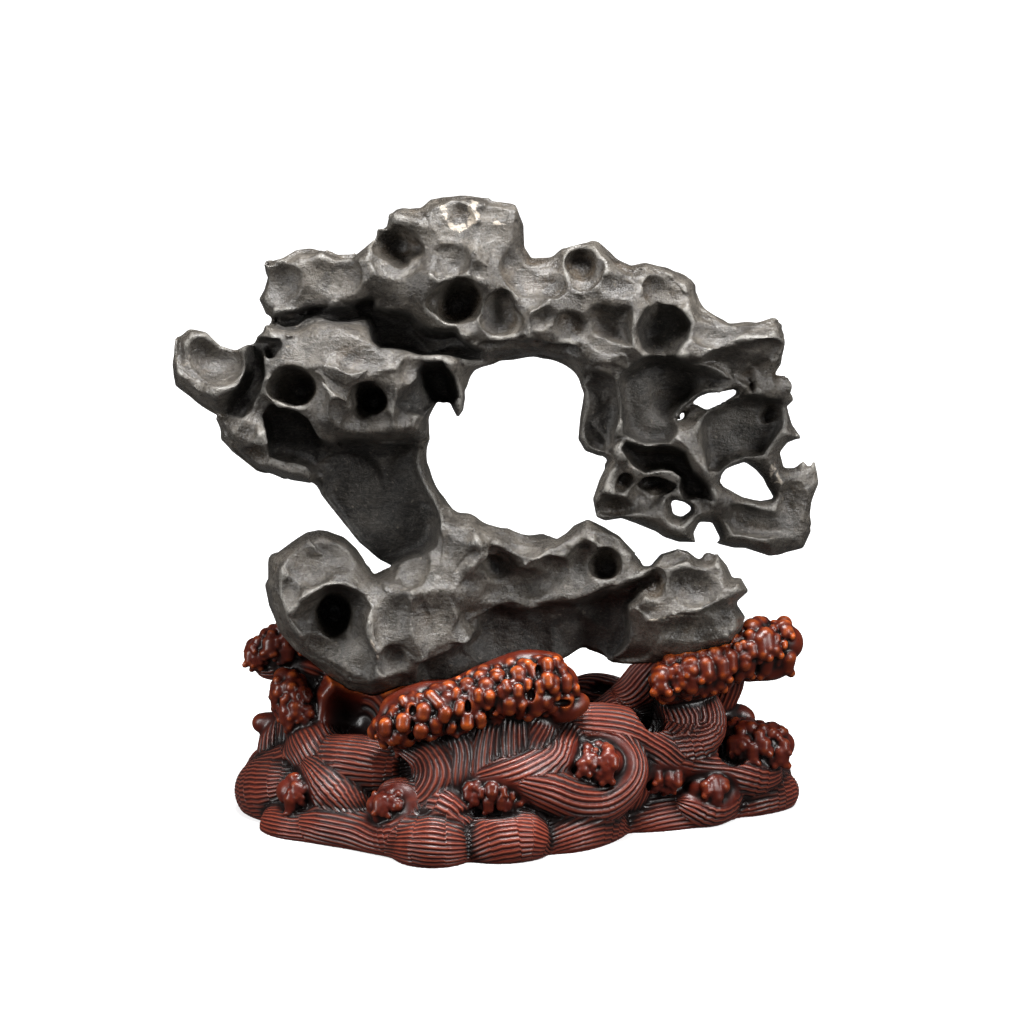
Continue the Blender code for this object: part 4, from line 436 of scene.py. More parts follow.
class Field:
    """Distance to a shape's skin at each point of a grid, negative inside it."""

    REACH = 10.0                  # how far round a small shape the grid is touched

    def __init__(self, low, high, step):
        self.step = step
        self.axes = [np.arange(a, b, step, dtype=np.float32) for a, b in zip(low, high)]
        self.low = np.array(low, float)
        self.value = np.full([len(axis) for axis in self.axes], FAR, np.float32)

    def near(self, low, high):
        """The part of the grid round a small shape, and its coordinates."""
        part = tuple(slice(*np.searchsorted(axis, (a - self.REACH, b + self.REACH)))
                     for axis, a, b in zip(self.axes, low, high))
        u, v, w = (axis[cut] for axis, cut in zip(self.axes, part))
        return part, u[:, None, None], v[None, :, None], w[None, None, :]

    def join(self, part, distance, blend):
        self.value[part] = smooth_low(self.value[part], distance.astype(np.float32), blend)

    def cut(self, part, distance, blend):
        self.value[part] = -smooth_low(-self.value[part], distance.astype(np.float32), blend)

    def limb(self, start, end, start_radius, end_radius):
        """A rounded, tapered rod."""
        start, end = np.array(start, float), np.array(end, float)
        size = max(start_radius, end_radius)
        part, u, v, w = self.near(np.minimum(start, end) - size, np.maximum(start, end) + size)
        along = end - start
        length = max(along @ along, 1e-9)
        u, v, w = u - start[0], v - start[1], w - start[2]
        share = np.clip((u * along[0] + v * along[1] + w * along[2]) / length, 0, 1)
        gap = np.sqrt((u - share * along[0]) ** 2 + (v - share * along[1]) ** 2
                      + (w - share * along[2]) ** 2)
        return part, gap - (start_radius + (end_radius - start_radius) * share)

    def ball(self, centre, radii, axes=None, waver=0.0):
        """An ellipsoid; waver makes its rim uneven."""
        size = max(radii)
        part, u, v, w = self.near([c - size for c in centre], [c + size for c in centre])
        if waver:
            pitch = 0.45 * size + 1.5
            u = u + waver * np.sin(v / pitch + w / pitch * 0.7 + centre[0])
            v = v + waver * np.sin(w / pitch + u / pitch * 0.8 + centre[1])
        u, v, w = u - centre[0], v - centre[1], w - centre[2]
        if axes is None:
            axes = np.eye(3)
        squares = sum(((u * a + v * b + w * c) / radius) ** 2
                      for (a, b, c), radius in zip(axes, radii))
        return part, (np.sqrt(squares) - 1) * min(radii)

    def face(self, side=1):
        """Depth of the first skin met looking straight at the sheet, from the front or back."""
        solid = self.value[:, :, ::-side] < 0
        first = np.argmax(solid, axis=2)
        depth = self.axes[2][::-side][first]
        return np.where(solid.any(axis=2), depth, np.nan)

    def push_forward(self, rise):
        """Move the front of each column toward the viewer by its rise."""
        count = len(self.axes[2])
        for column in np.flatnonzero((rise > 0).any(axis=1)):
            place = np.clip(np.arange(count) - rise[column][:, None] / self.step, 0, count - 1.001)
            base = place.astype(int)
            part = (place - base).astype(np.float32)
            slab = self.value[column]
            moved = (np.take_along_axis(slab, base, 1) * (1 - part)
                     + np.take_along_axis(slab, base + 1, 1) * part)
            self.value[column] = np.minimum(slab, moved)

    def skin(self):
        """Corners and triangles of the skin."""
        grid = openvdb.FloatGrid(3 * self.step)
        grid.copyFromArray(np.clip(self.value, -3 * self.step, 3 * self.step))
        points, _triangles, quads = grid.convertToPolygons(isovalue=0.0, adaptivity=0.0)
        points = np.asarray(points, float) * self.step + self.low
        facets = np.concatenate([quads[:, [0, 1, 2]], quads[:, [0, 2, 3]]])
        return points, facets


def outline_distance(outline, u, v):
    """Distance inside an outline on the sheet, negative outside."""
    corners = np.array(outline, float)
    nearest = np.full(u.shape, np.inf)
    inside = np.zeros(u.shape, bool)
    for start, end in zip(corners, np.roll(corners, -1, axis=0)):
        edge = end - start
        share = np.clip(((u - start[0]) * edge[0] + (v - start[1]) * edge[1]) / (edge @ edge), 0, 1)
        nearest = np.minimum(nearest, (u - start[0] - share * edge[0]) ** 2
                             + (v - start[1] - share * edge[1]) ** 2)
        crosses = (start[1] > v) != (end[1] > v)
        inside ^= crosses & (u < edge[0] * (v - start[1]) / (edge[1] or 1.0) + start[0])
    return np.where(inside, 1, -1) * np.sqrt(nearest)


def lobe(field, outline, openings, edge, places, waver=0.0):
    """An outline swelled to its thickness and rounded at its edge; waver makes it uneven."""
    outside = 20.0
    corners = np.array(outline, float)
    part, u, v, w = field.near((*corners.min(axis=0) - outside, field.axes[2][0]),
                               (*corners.max(axis=0) + outside, field.axes[2][-1]))
    flat_u, flat_v = np.broadcast_arrays(u[:, :, 0], v[:, :, 0])
    if waver:
        flat_u, flat_v = (flat_u + waver * np.sin(flat_v / 5.5 + flat_u / 13),
                          flat_v + 0.8 * waver * np.sin(flat_u / 5 - flat_v / 11))
    inside = outline_distance(outline, flat_u, flat_v)
    for opening in openings:
        inside = np.minimum(inside, -outline_distance(opening, flat_u, flat_v))
    total, middle, half = 0, 0, 0
    for place_u, place_v, f, thickness in places:
        weight = ((flat_u - place_u) ** 2 + (flat_v - place_v) ** 2 + 40.0) ** -1.5
        total, middle, half = total + weight, middle + weight * f, half + weight * thickness
    middle = sheet_depth(flat_v, middle / total)[:, :, None]
    half = (half / total)[:, :, None]
    rise = np.clip(edge - inside, 0, None)[:, :, None] / edge
    distance = (np.sqrt(rise ** 2 + ((w - middle) / half) ** 2) - 1) * np.minimum(edge, half)
    return part, distance


def wobble(points, pitch, seed):
    """Smooth unevenness between about -1 and 1, the same for the same place."""
    chance = np.random.default_rng(seed)
    total = np.zeros(len(points))
    for _ in range(7):
        direction = chance.normal(size=3)
        direction *= chance.uniform(0.6, 1.5) * 2 * math.pi / pitch / np.linalg.norm(direction)
        bend = np.sin(points @ chance.normal(size=3) * (1.3 / pitch) + chance.uniform(0, 6))
        total += np.sin(points @ direction + 1.6 * bend + chance.uniform(0, 2 * math.pi))
    return total / 4


# ---- meshes ----
SHEET_AXES = np.array([(1, 0, 0), (0, SIN_LEAN, COS_LEAN), (0, -COS_LEAN, SIN_LEAN)])


def to_world(points):
    """Points or directions of the drawing as world ones: X right, Y back, Z up."""
    return points @ SHEET_AXES


def corner_normals(points, facets):
    """Directions of the skin at its corners."""
    a, b, c = (points[facets[:, k]] for k in range(3))
    across = np.cross(b - a, c - a)
    normals = np.zeros_like(points)
    for axis in range(3):
        for k in range(3):
            normals[:, axis] += np.bincount(facets[:, k], across[:, axis], len(points))
    return normals / np.maximum(np.linalg.norm(normals, axis=1, keepdims=True), 1e-9)


def spread_out(points, facets, values, times=1):
    """Values at corners averaged with their neighbours'."""
    for _ in range(times):
        total = np.zeros(len(points))
        count = np.zeros(len(points))
        for k in range(3):
            for other in (1, 2):
                total += np.bincount(facets[:, k], values[facets[:, (k + other) % 3]], len(points))
                count += np.bincount(facets[:, k], None, len(points))
        values = total / np.maximum(count, 1)
    return values


def whole_piece(points, facets):
    """The largest connected piece of a skin."""
    label = np.arange(len(points))
    while True:
        low = label[facets].min(axis=1)
        merged = label.copy()
        for k in range(3):
            np.minimum.at(merged, facets[:, k], low)
        merged = merged[merged]
        if np.array_equal(merged, label):
            break
        label = merged
    biggest = np.bincount(label).argmax()
    used, local = np.unique(facets[label[facets[:, 0]] == biggest], return_inverse=True)
    return points[used], local.reshape(-1, 3)


def make_mesh(name, points, facets):
    """A smooth mesh of triangles."""
    mesh = bpy.data.meshes.new(name)
    mesh.vertices.add(len(points))
    mesh.vertices.foreach_set("co", points.astype(np.float32).ravel())
    mesh.loops.add(3 * len(facets))
    mesh.loops.foreach_set("vertex_index", facets.astype(np.int32).ravel())
    mesh.polygons.add(len(facets))
    mesh.polygons.foreach_set("loop_start", np.arange(0, 3 * len(facets), 3, dtype=np.int32))
    mesh.update(calc_edges=True)
    mesh.shade_smooth()
    return mesh


def thinned(points, facets, triangles):
    """The same skin with fewer triangles."""
    obj = bpy.data.objects.new("thinning", make_mesh("thinning", points, facets))
    bpy.context.scene.collection.objects.link(obj)
    decimate = obj.modifiers.new("thin", "DECIMATE")
    decimate.ratio = min(1.0, triangles / len(facets))
    depsgraph = bpy.context.evaluated_depsgraph_get()
    mesh = bpy.data.meshes.new_from_object(obj.evaluated_get(depsgraph))
    points = np.empty(3 * len(mesh.vertices), np.float32)
    mesh.vertices.foreach_get("co", points)
    mesh.calc_loop_triangles()
    facets = np.empty(3 * len(mesh.loop_triangles), np.int32)
    mesh.loop_triangles.foreach_get("vertices", facets)
    bpy.data.meshes.remove(obj.data)
    bpy.data.meshes.remove(mesh)
    return points.reshape(-1, 3).astype(float), facets.reshape(-1, 3)


def make_pieces(node, finish, points, facets, values, region):
    """Objects that together stand for a node, one for each region of its skin."""
    normals = to_world(corner_normals(points, facets))
    world = to_world(points) * MM
    for index, name in enumerate(region[0]):
        chosen = facets[region[1] == index]
        used, local = np.unique(chosen, return_inverse=True)
        mesh = make_mesh(name, world[used], local.reshape(-1, 3))
        mesh.normals_split_custom_set_from_vertices(normals[used])
        for label, value in values.items():
            layer = mesh.attributes.new(label, "FLOAT", "POINT")
            layer.data.foreach_set("value", value[used].astype(np.float32))
        mesh.materials.append(finish)
        piece = bpy.data.objects.new(name, mesh)
        bpy.context.scene.collection.objects.link(piece)
        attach(piece, "root")
        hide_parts(node)


def soft_solid(field, skip, reach):
    """Share of solid round each point, from a coarser copy of the grid."""
    solid = np.clip(0.5 - field.value[::skip, ::skip, ::skip] / (skip * field.step), 0, 1)
    cells = max(1, round(reach / (skip * field.step)))
    for axis in range(3):
        for _ in range(2):
            total = np.cumsum(solid, axis=axis, dtype=np.float32)
            ahead = np.take(total, np.minimum(np.arange(solid.shape[axis]) + cells,
                                              solid.shape[axis] - 1), axis=axis)
            behind = np.take(total, np.maximum(np.arange(solid.shape[axis]) - cells - 1, 0), axis=axis)
            solid = (ahead - behind) / (2 * cells + 1)
    return solid


def crowding(field, points, skip, reach):
    """How far a corner lies in a hollow: 0 on an edge, 1 deep inside."""
    return grid_at(soft_solid(field, skip, reach), field, points, skip)


def grid_at(grid, field, points, skip=1):
    """Values of a grid that lies over a field, or a coarser copy of it, at points."""
    place = (points - field.low) / (field.step * skip)
    base = np.clip(place.astype(int), 0, np.array(grid.shape) - 2)
    part = np.clip(place - base, 0, 1)
    total = np.zeros(len(points))
    for corner in range(8):
        offset = np.array([corner >> 2 & 1, corner >> 1 & 1, corner & 1])
        weight = np.prod(np.where(offset, part, 1 - part), axis=1)
        at = base + offset
        total += weight * grid[at[:, 0], at[:, 1], at[:, 2]]
    return total


# ---- the rock ----
def at_face(face, field, u, v):
    """Depth of a face at a place on the sheet, or the nearest depth to it."""
    column = int(round((u - field.low[0]) / field.step))
    row = int(round((v - field.low[1]) / field.step))
    for reach in range(9):
        window = face[max(0, column - reach):column + reach + 1, max(0, row - reach):row + reach + 1]
        if np.isfinite(window).any():
            return float(np.nanmedian(window))
    return None


def scoop_face(field, marks, lift, side, blend, waver):
    """Hollows in a face, each from a ball that stands off it by a share of its depth."""
    face = field.face(side)
    for u, v, half_width, half_height, depth, turn in marks:
        off_sheet = at_face(face, field, u, v)
        if off_sheet is None:
            continue
        reach = depth / (1 - lift)
        widen = 1 / math.sqrt(1 - lift * lift)
        part, distance = field.ball((u, v, off_sheet + side * lift * reach),
                                    (half_width * widen, half_height * widen, reach),
                                    sheet_turn(turn), waver)
        field.cut(part, distance, blend)


def weather(field, spacing, radii, depth, seed, uneven):
    """Shallow scallops all over the skin, which meet in crisp ridges."""
    chance = np.random.default_rng(seed)
    before = field.value.copy()
    points, facets = field.skin()
    normals = corner_normals(points, facets)
    order = chance.permutation(len(points))[:int(40 * len(points) * (field.step / spacing) ** 2)]
    cells = {}
    for index in order:
        cells.setdefault(tuple((points[index] // spacing).astype(int)), index)
    for index in cells.values():
        sink = depth * chance.uniform(0.4, 1.3)
        radius = chance.uniform(*radii)
        centre = points[index] + normals[index] * (radius - sink)
        part, gap = field.limb(centre, centre, radius, radius)
        field.cut(part, gap, uneven)
    field.value = np.minimum(field.value, before + 1.3 * depth)


def crest_relief(field):
    """How far the ridges push the face forward: sharp along each line, hollow beside it."""
    u, v = np.meshgrid(field.axes[0], field.axes[1], indexing="ij")
    rise = np.zeros(u.shape)
    for path, radius, sink in RIDGES:
        nearest = np.full(u.shape, FAR)
        for start, end in zip(np.array(path, float), np.array(path[1:], float)):
            along = end - start
            share = np.clip(((u - start[0]) * along[0] + (v - start[1]) * along[1]) / (along @ along), 0, 1)
            gap = np.hypot(u - start[0] - share * along[0], v - start[1] - share * along[1])
            nearest = np.minimum(nearest, gap)
        height = 1.15 * (radius - sink) + 0.8
        reach = 2.2 * radius + 3
        rise = np.maximum(rise, height * np.clip(1 - nearest / reach, 0, 1) ** 1.7)
    return rise


def lipped(mark):
    """The dish that runs down out of a pit, whose upper rim stays sharp."""
    u, v, half_width, half_height, depth, turn = mark
    return (u + 0.12 * half_width, v - 0.32 * half_height, half_width * 1.22, half_height * 1.2,
            0.42 * min(half_width, half_height), turn)


def side_bites(marks, seed):
    """Smaller hollows in the walls of the larger pits."""
    chance = np.random.default_rng(seed)
    bites = []
    for u, v, half_width, half_height, depth, turn in marks:
        if half_width < 7:
            continue
        for _ in range(3):
            angle = chance.uniform(0, 2 * math.pi)
            size = chance.uniform(0.42, 0.62)
            bites.append((u + 0.66 * half_width * math.cos(angle), v + 0.66 * half_height * math.sin(angle),
                          half_width * size, half_height * size, depth * chance.uniform(0.35, 0.6), turn))
    return bites


def joint_width(u, v):
    """How widely lobes melt into each other: little where only a narrow gap parts them."""
    under_arm = np.clip((u - 20) / 20, 0, 1) * np.clip((215 - v) / 20, 0, 1)
    by_neck = np.clip((-58 - u) / 12, 0, 1) * np.clip((v - 138) / 8, 0, 1) * np.clip((200 - v) / 10, 0, 1)
    width = WIDE_JOINT - (WIDE_JOINT - NARROW_JOINT) * np.maximum(under_arm, by_neck)
    return width[:, :, None].astype(np.float32)


def rock_field():
    """The weathered rock, and how much soot and painted shade darken each place in its recesses."""
    field = Field((-214, 64, -58), (190, 374, 176), ROCK_STEP)
    for outline, openings, edge, places in LOBES:
        part, distance = lobe(field, outline, openings, edge, places)
        field.join(part, distance, joint_width(field.axes[0][part[0], None], field.axes[1][part[1]]))
    field.value -= ROCK_SWELL
    weather(field, spacing=24, radii=(22, 44), depth=1.4, seed=21, uneven=1.5)
    field.push_forward(crest_relief(field))
    face = field.face()
    for u, v, radius, sink in KNOBS:
        field.join(*field.ball((u, v, at_face(face, field, u, v) - sink), (radius,) * 3), 5)
    scoop_face(field, SCOOPS, SHALLOW, FRONT, blend=1.5, waver=1.6)
    scoop_face(field, [lipped(mark) for mark in PITS], SHALLOW, FRONT, blend=1.5, waver=1.6)
    scoop_face(field, side_bites(PITS, seed=4), STEEP, FRONT, blend=1.5, waver=1.2)
    scoop_face(field, PITS, STEEP, FRONT, blend=2.0, waver=2.0)
    # darkness of the recesses, partly soot and partly painted shade
    sunk_shade_and_soot = np.zeros(field.value.shape, np.float32)
    for (outline, edge, places), shade_and_soot in zip(ALCOVES, SHADE_AND_SOOT):
        part, distance = lobe(field, outline, [], edge, places, 1.2)
        field.cut(part, distance, 1.5)
        sunk_shade_and_soot[part] = np.maximum(sunk_shade_and_soot[part], shade_and_soot * np.clip(1.2 - distance / 3, 0, 1))
    weather(field, spacing=17, radii=(13, 28), depth=0.9, seed=5, uneven=0.6)
    scoop_face(field, BACK_SCOOPS, SHALLOW, BACK, blend=1.5, waver=1.6)
    scoop_face(field, [lipped(mark) for mark in BACK_PITS], SHALLOW, BACK, blend=1.5, waver=1.6)
    scoop_face(field, BACK_PITS, STEEP, BACK, blend=3.0, waver=1.6)
    return field, sunk_shade_and_soot


# ---- the stand ----
LEVEL_AXES = np.array([(1, 0, 0), (0, -SIN_LEAN, COS_LEAN), (0, COS_LEAN, SIN_LEAN)])  # right, front, up
DOWN = -LEVEL_AXES[2]


def placed(path):
    """Points (u, v, f, radius) of a path, rounded at its turns, in the drawing's axes, and radii."""
    points = np.array(path, float)
    ends = np.concatenate((2 * points[:1] - points[1:2], points, 2 * points[-1:] - points[-2:-1]))
    curve = []
    for k in range(1, len(ends) - 2):
        before, start, end, after = ends[k - 1:k + 3]
        for share in np.arange(CURVE_STEPS) / CURVE_STEPS:
            curve.append(0.5 * (2 * start + (end - before) * share
                                + (2 * before - 5 * start + 4 * end - after) * share ** 2
                                + (3 * start - before - 3 * end + after) * share ** 3))
    points = np.array(curve + [ends[-2]])
    radii = points[:, 3].copy()
    points[:, 2] = sheet_depth(points[:, 1], points[:, 2])
    return points[:, :3], radii


def add_path(field, path, blend):
    """Joins a wave to the field; gives the points and radii of its curve."""
    points, radii = placed(path)
    for k in range(len(points) - 1):
        field.join(*field.limb(points[k], points[k + 1], radii[k], radii[k + 1]), blend)
    return points, radii


def add_knob(field, start, out, size, forks, chance):
    """A drooping knob of foam that may fork at its end; gives the direction across it."""
    droop = DOWN - 0.6 * (DOWN @ out) * out
    finish = start + droop * size * chance.uniform(0.1, 1.3) + out * size * 0.25
    field.join(*field.limb(start, finish, size, size * 0.8), 0.7)
    side = np.cross(out, droop)
    for swing in (-0.8, 0.8):
        if forks and chance.random() < 0.5:
            tip = finish + (droop * math.cos(swing) + side * math.sin(swing) + 0.3 * out) * size * 0.9
            field.join(*field.limb(finish, tip, size * 0.55, size * 0.45), 0.6)
    return side


def add_foam(field, points, radii, knob, chance):
    """Foam packed round a crest: drooping knobs of many sizes, some forked, and drilled gaps."""
    lengths = np.linalg.norm(np.diff(points, axis=0), axis=1)
    travelled = np.concatenate(([0], np.cumsum(lengths)))
    around = 2 * math.pi * radii.mean()
    count = int((travelled[-1] + knob) * around / (FOAM_SPACING * knob) ** 2)
    gaps = []
    for index in range(count):
        where = travelled[-1] * (index + 0.5) / count + chance.uniform(-0.35, 0.35) * knob
        where = np.clip(where, -0.3 * knob, travelled[-1] + 0.3 * knob)
        centre = np.array([np.interp(where, travelled, points[:, axis]) for axis in range(3)])
        radius = np.interp(where, travelled, radii)
        k = min(np.searchsorted(travelled[1:], where), len(lengths) - 1)
        along = (points[k + 1] - points[k]) / lengths[k]
        centre += along * (where - np.clip(where, 0, travelled[-1]))
        across = np.cross(along, DOWN)
        across /= np.linalg.norm(across)
        up = np.cross(across, along)
        angle = GOLDEN_TURN * index + chance.uniform(-0.3, 0.3)
        out = across * math.cos(angle) + up * math.sin(angle)
        size = knob * (chance.uniform(0.75, 1.1) if chance.random() < 0.6 else chance.uniform(0.45, 0.65))
        start = centre + out * (radius - 0.5 * size)
        side = add_knob(field, start, out, size, size > 0.55 * knob, chance)
        if chance.random() < GAP_CHANCE * (knob > LARGE_KNOB):
            beside = start + side * size * 1.25 - out * 0.2 * size
            gaps.append((beside, out, size * chance.uniform(0.3, 0.5)))
    for place, out, size in gaps:
        field.cut(*field.limb(place - out * size, place + out * 3 * size, size, size * 1.2), 0.6)


def add_knobs(field):
    """The knobs and drilled gaps of the front crest, set on its face."""
    face = field.face()
    for u, v, end_u, end_v, size in FRONT_KNOBS:
        start = (u, v, at_face(face, field, u, v) - 0.2 * size)
        finish = (end_u, end_v, at_face(face, field, end_u, end_v) - 0.2 * size)
        field.join(*field.limb(start, finish, 1.2 * size, 1.1 * size), 0.7)
    for u, v, half_width, half_height in FRONT_GAPS:
        place = (u, v, at_face(face, field, u, v))
        field.cut(*field.ball(place, (half_width, half_height, 4)), 0.8)


def spread_rock(rock, field, low_v):
    """The rock's distances on the part of the stand's grid above a height."""
    row = int(np.searchsorted(field.axes[1], low_v))
    wanted = [field.axes[0], field.axes[1][row:], field.axes[2]]
    grid = rock.value
    for axis, places in enumerate(wanted):
        place = np.clip((places - rock.axes[axis][0]) / rock.step, 0, grid.shape[axis] - 1.001)
        base = place.astype(int)
        part = (place - base).reshape([-1 if k == axis else 1 for k in range(3)])
        grid = np.take(grid, base, axis) * (1 - part) + np.take(grid, base + 1, axis) * part
    return row, grid


def stand_field(rock):
    """The carved stand, with the rock's seat cut in it."""
    field = Field((-172, -36, -104), (178, 128, 140), STAND_STEP)
    for x, height, f, half_width, half_height, half_depth, turn in CORES:
        v = sheet_height(height, f)
        swing = math.radians(-turn)
        right, front, up = LEVEL_AXES
        axes = (math.cos(swing) * right - math.sin(swing) * front,
                math.sin(swing) * right + math.cos(swing) * front, up)
        field.join(*field.ball((x, v, sheet_depth(v, f)), (half_width, half_depth, half_height), axes), 3)
    field.join(*lobe(field, MASS, [], MASS_EDGE, MASS_PLACES), 3)
    Field.REACH = 8.0
    for path in FLOOR_PATHS:
        add_path(field, path, FLOOR_BLEND)
    for path in WAVES:
        add_path(field, path, WAVE_BLEND)
    for u, v, f, half_width, half_height, half_depth in HOLLOWS:
        field.cut(*field.ball((u, v, sheet_depth(v, f)), (half_width, half_height, half_depth)), 2)
    chance = np.random.default_rng(7)
    Field.REACH = 3.0
    for path, knob in CRESTS:
        core = 0.8 if knob else 1.0
        points, radii = add_path(field, [(u, v, f, radius * core) for u, v, f, radius in path], 2)
        if knob:
            add_foam(field, points, radii / core, knob * (0.9 if knob > LARGE_KNOB else 0.78), chance)
    add_knobs(field)
    u, v, w = np.meshgrid(*field.axes, indexing="ij", sparse=True)
    field.value = np.maximum(field.value, -(v * COS_LEAN + w * SIN_LEAN))
    row, rock_near = spread_rock(rock, field, 66)
    field.value[:, row:] = np.maximum(field.value[:, row:], SEAT_GAP - rock_near)
    return field


def nearest_on(points, centres, radii):
    """How far points lie off a wave's skin, and where along its path they are nearest to it."""
    best = np.full(len(points), FAR)
    where = np.zeros(len(points))
    for k in range(len(centres) - 1):
        along = centres[k + 1] - centres[k]
        share = np.clip((points - centres[k]) @ along / (along @ along), 0, 1)
        gap = np.linalg.norm(points - centres[k] - share[:, None] * along, axis=1)
        gap -= radii[k] + (radii[k + 1] - radii[k]) * share
        closer = gap < best
        best[closer] = gap[closer]
        where[closer] = k + share[closer]
    return best, where


def groove_phase(points, where, centres, radii, twist):
    """Where points lie across the grooves that run along a wave, in grooves."""
    slope = np.gradient(centres, axis=0)
    base = np.minimum(where.astype(int), len(centres) - 2)
    part = (where - base)[:, None]
    centre = centres[base] * (1 - part) + centres[base + 1] * part
    tangent = slope[base] * (1 - part) + slope[base + 1] * part
    tangent /= np.linalg.norm(tangent, axis=1, keepdims=True)
    f = centre[:, 2] * COS_LEAN - centre[:, 1] * SIN_LEAN
    outward = np.column_stack((centre[:, 0] * 0.3, f, np.full(len(centre), 25.0))) @ LEVEL_AXES
    side = np.cross(tangent, outward)
    side /= np.linalg.norm(side, axis=1, keepdims=True)
    front = np.cross(side, tangent)
    off = points - centre
    angle = np.arctan2(np.sum(off * side, axis=1), np.sum(off * front, axis=1))
    grooves = max(6, round(2 * math.pi * radii.mean() / GROOVE_PITCH))
    return grooves * angle / (2 * math.pi) + twist * where


def groove_marks(points):
    """Where each corner lies across its wave's grooves, how deep they are there, and its crest."""
    nearest = np.full(len(points), FAR)
    phase = np.zeros(len(points))
    combed = np.zeros(len(points))
    amber = np.zeros(len(points))
    chance = np.random.default_rng(3)
    paths = [(path, None) for path in FLOOR_PATHS + WAVES]
    paths += [(path, shine) for (path, _knob), shine in zip(CRESTS, SHINES)]
    for path, shine in paths:
        centres, radii = placed(path)
        reach = radii.max() + 26
        low, high = centres.min(axis=0) - reach, centres.max(axis=0) + reach
        close = np.flatnonzero(np.all((points > low) & (points < high), axis=1))
        best, where = nearest_on(points[close], centres, radii)
        mine = best < nearest[close]
        close, where = close[mine], where[mine]
        nearest[close] = best[mine]
        amber[close] = shine or 0
        combed[close] = shine is None
        if shine is None:
            twist = chance.uniform(-0.8, 0.8) / CURVE_STEPS
            phase[close] = groove_phase(points[close], where, centres, radii, twist)
    return phase, combed, amber


# ---- finishes ----
class Nodes:
    """Short calls that add shader nodes and join them up."""

    def __init__(self, name):
        self.material = bpy.data.materials.new(name)
        self.material.use_nodes = True
        self.tree = self.material.node_tree
        self.shader = self.tree.nodes["Principled BSDF"]

    def add(self, kind, inputs=None, **settings):
        node = self.tree.nodes.new("ShaderNode" + kind)
        for key, value in settings.items():
            setattr(node, key, value)
        for key, value in (inputs or {}).items():
            self.feed(node.inputs[key], value)
        return node

    def feed(self, socket, value):
        if isinstance(value, bpy.types.NodeSocket):
            self.tree.links.new(value, socket)
        elif isinstance(value, bpy.types.Node):
            self.tree.links.new(value.outputs[0], socket)
        else:
            socket.default_value = value

    def value(self, name):
        return self.add("Attribute", attribute_name=name).outputs["Fac"]

    def sum(self, operation, *values, clamp=False):
        return self.add("Math", dict(enumerate(values)), operation=operation, use_clamp=clamp)

    def span(self, value, low, high, to_low=0.0, to_high=1.0, smooth=True):
        return self.add("MapRange", {0: value, 1: low, 2: high, 3: to_low, 4: to_high},
                        interpolation_type="SMOOTHSTEP" if smooth else "LINEAR")

    def mix(self, share, first, second, blend="MIX"):
        node = self.add("Mix", data_type="RGBA", blend_type=blend)
        for index, value in ((0, share), (6, first), (7, second)):
            self.feed(node.inputs[index], value)
        return node.outputs[2]

    def noise(self, scale, detail=4.0, rough=0.55, stretch=None, distortion=0.0, kind="Noise"):
        place = self.add("TexCoord").outputs["Object"]
        if stretch is not None:
            place = self.add("Mapping", {0: place, 3: stretch}).outputs[0]
        if kind == "Noise":
            return self.add("TexNoise", {"Vector": place, "Scale": scale, "Detail": detail,
                                         "Roughness": rough, "Distortion": distortion}).outputs["Fac"]
        return self.add("TexVoronoi", {"Vector": place, "Scale": scale}, feature=kind)

    def bump(self, height, strength, distance, normal=None):
        node = self.add("Bump", {"Strength": strength, "Distance": distance, "Height": height})
        if normal is not None:
            self.feed(node.inputs["Normal"], normal)
        return node.outputs[0]


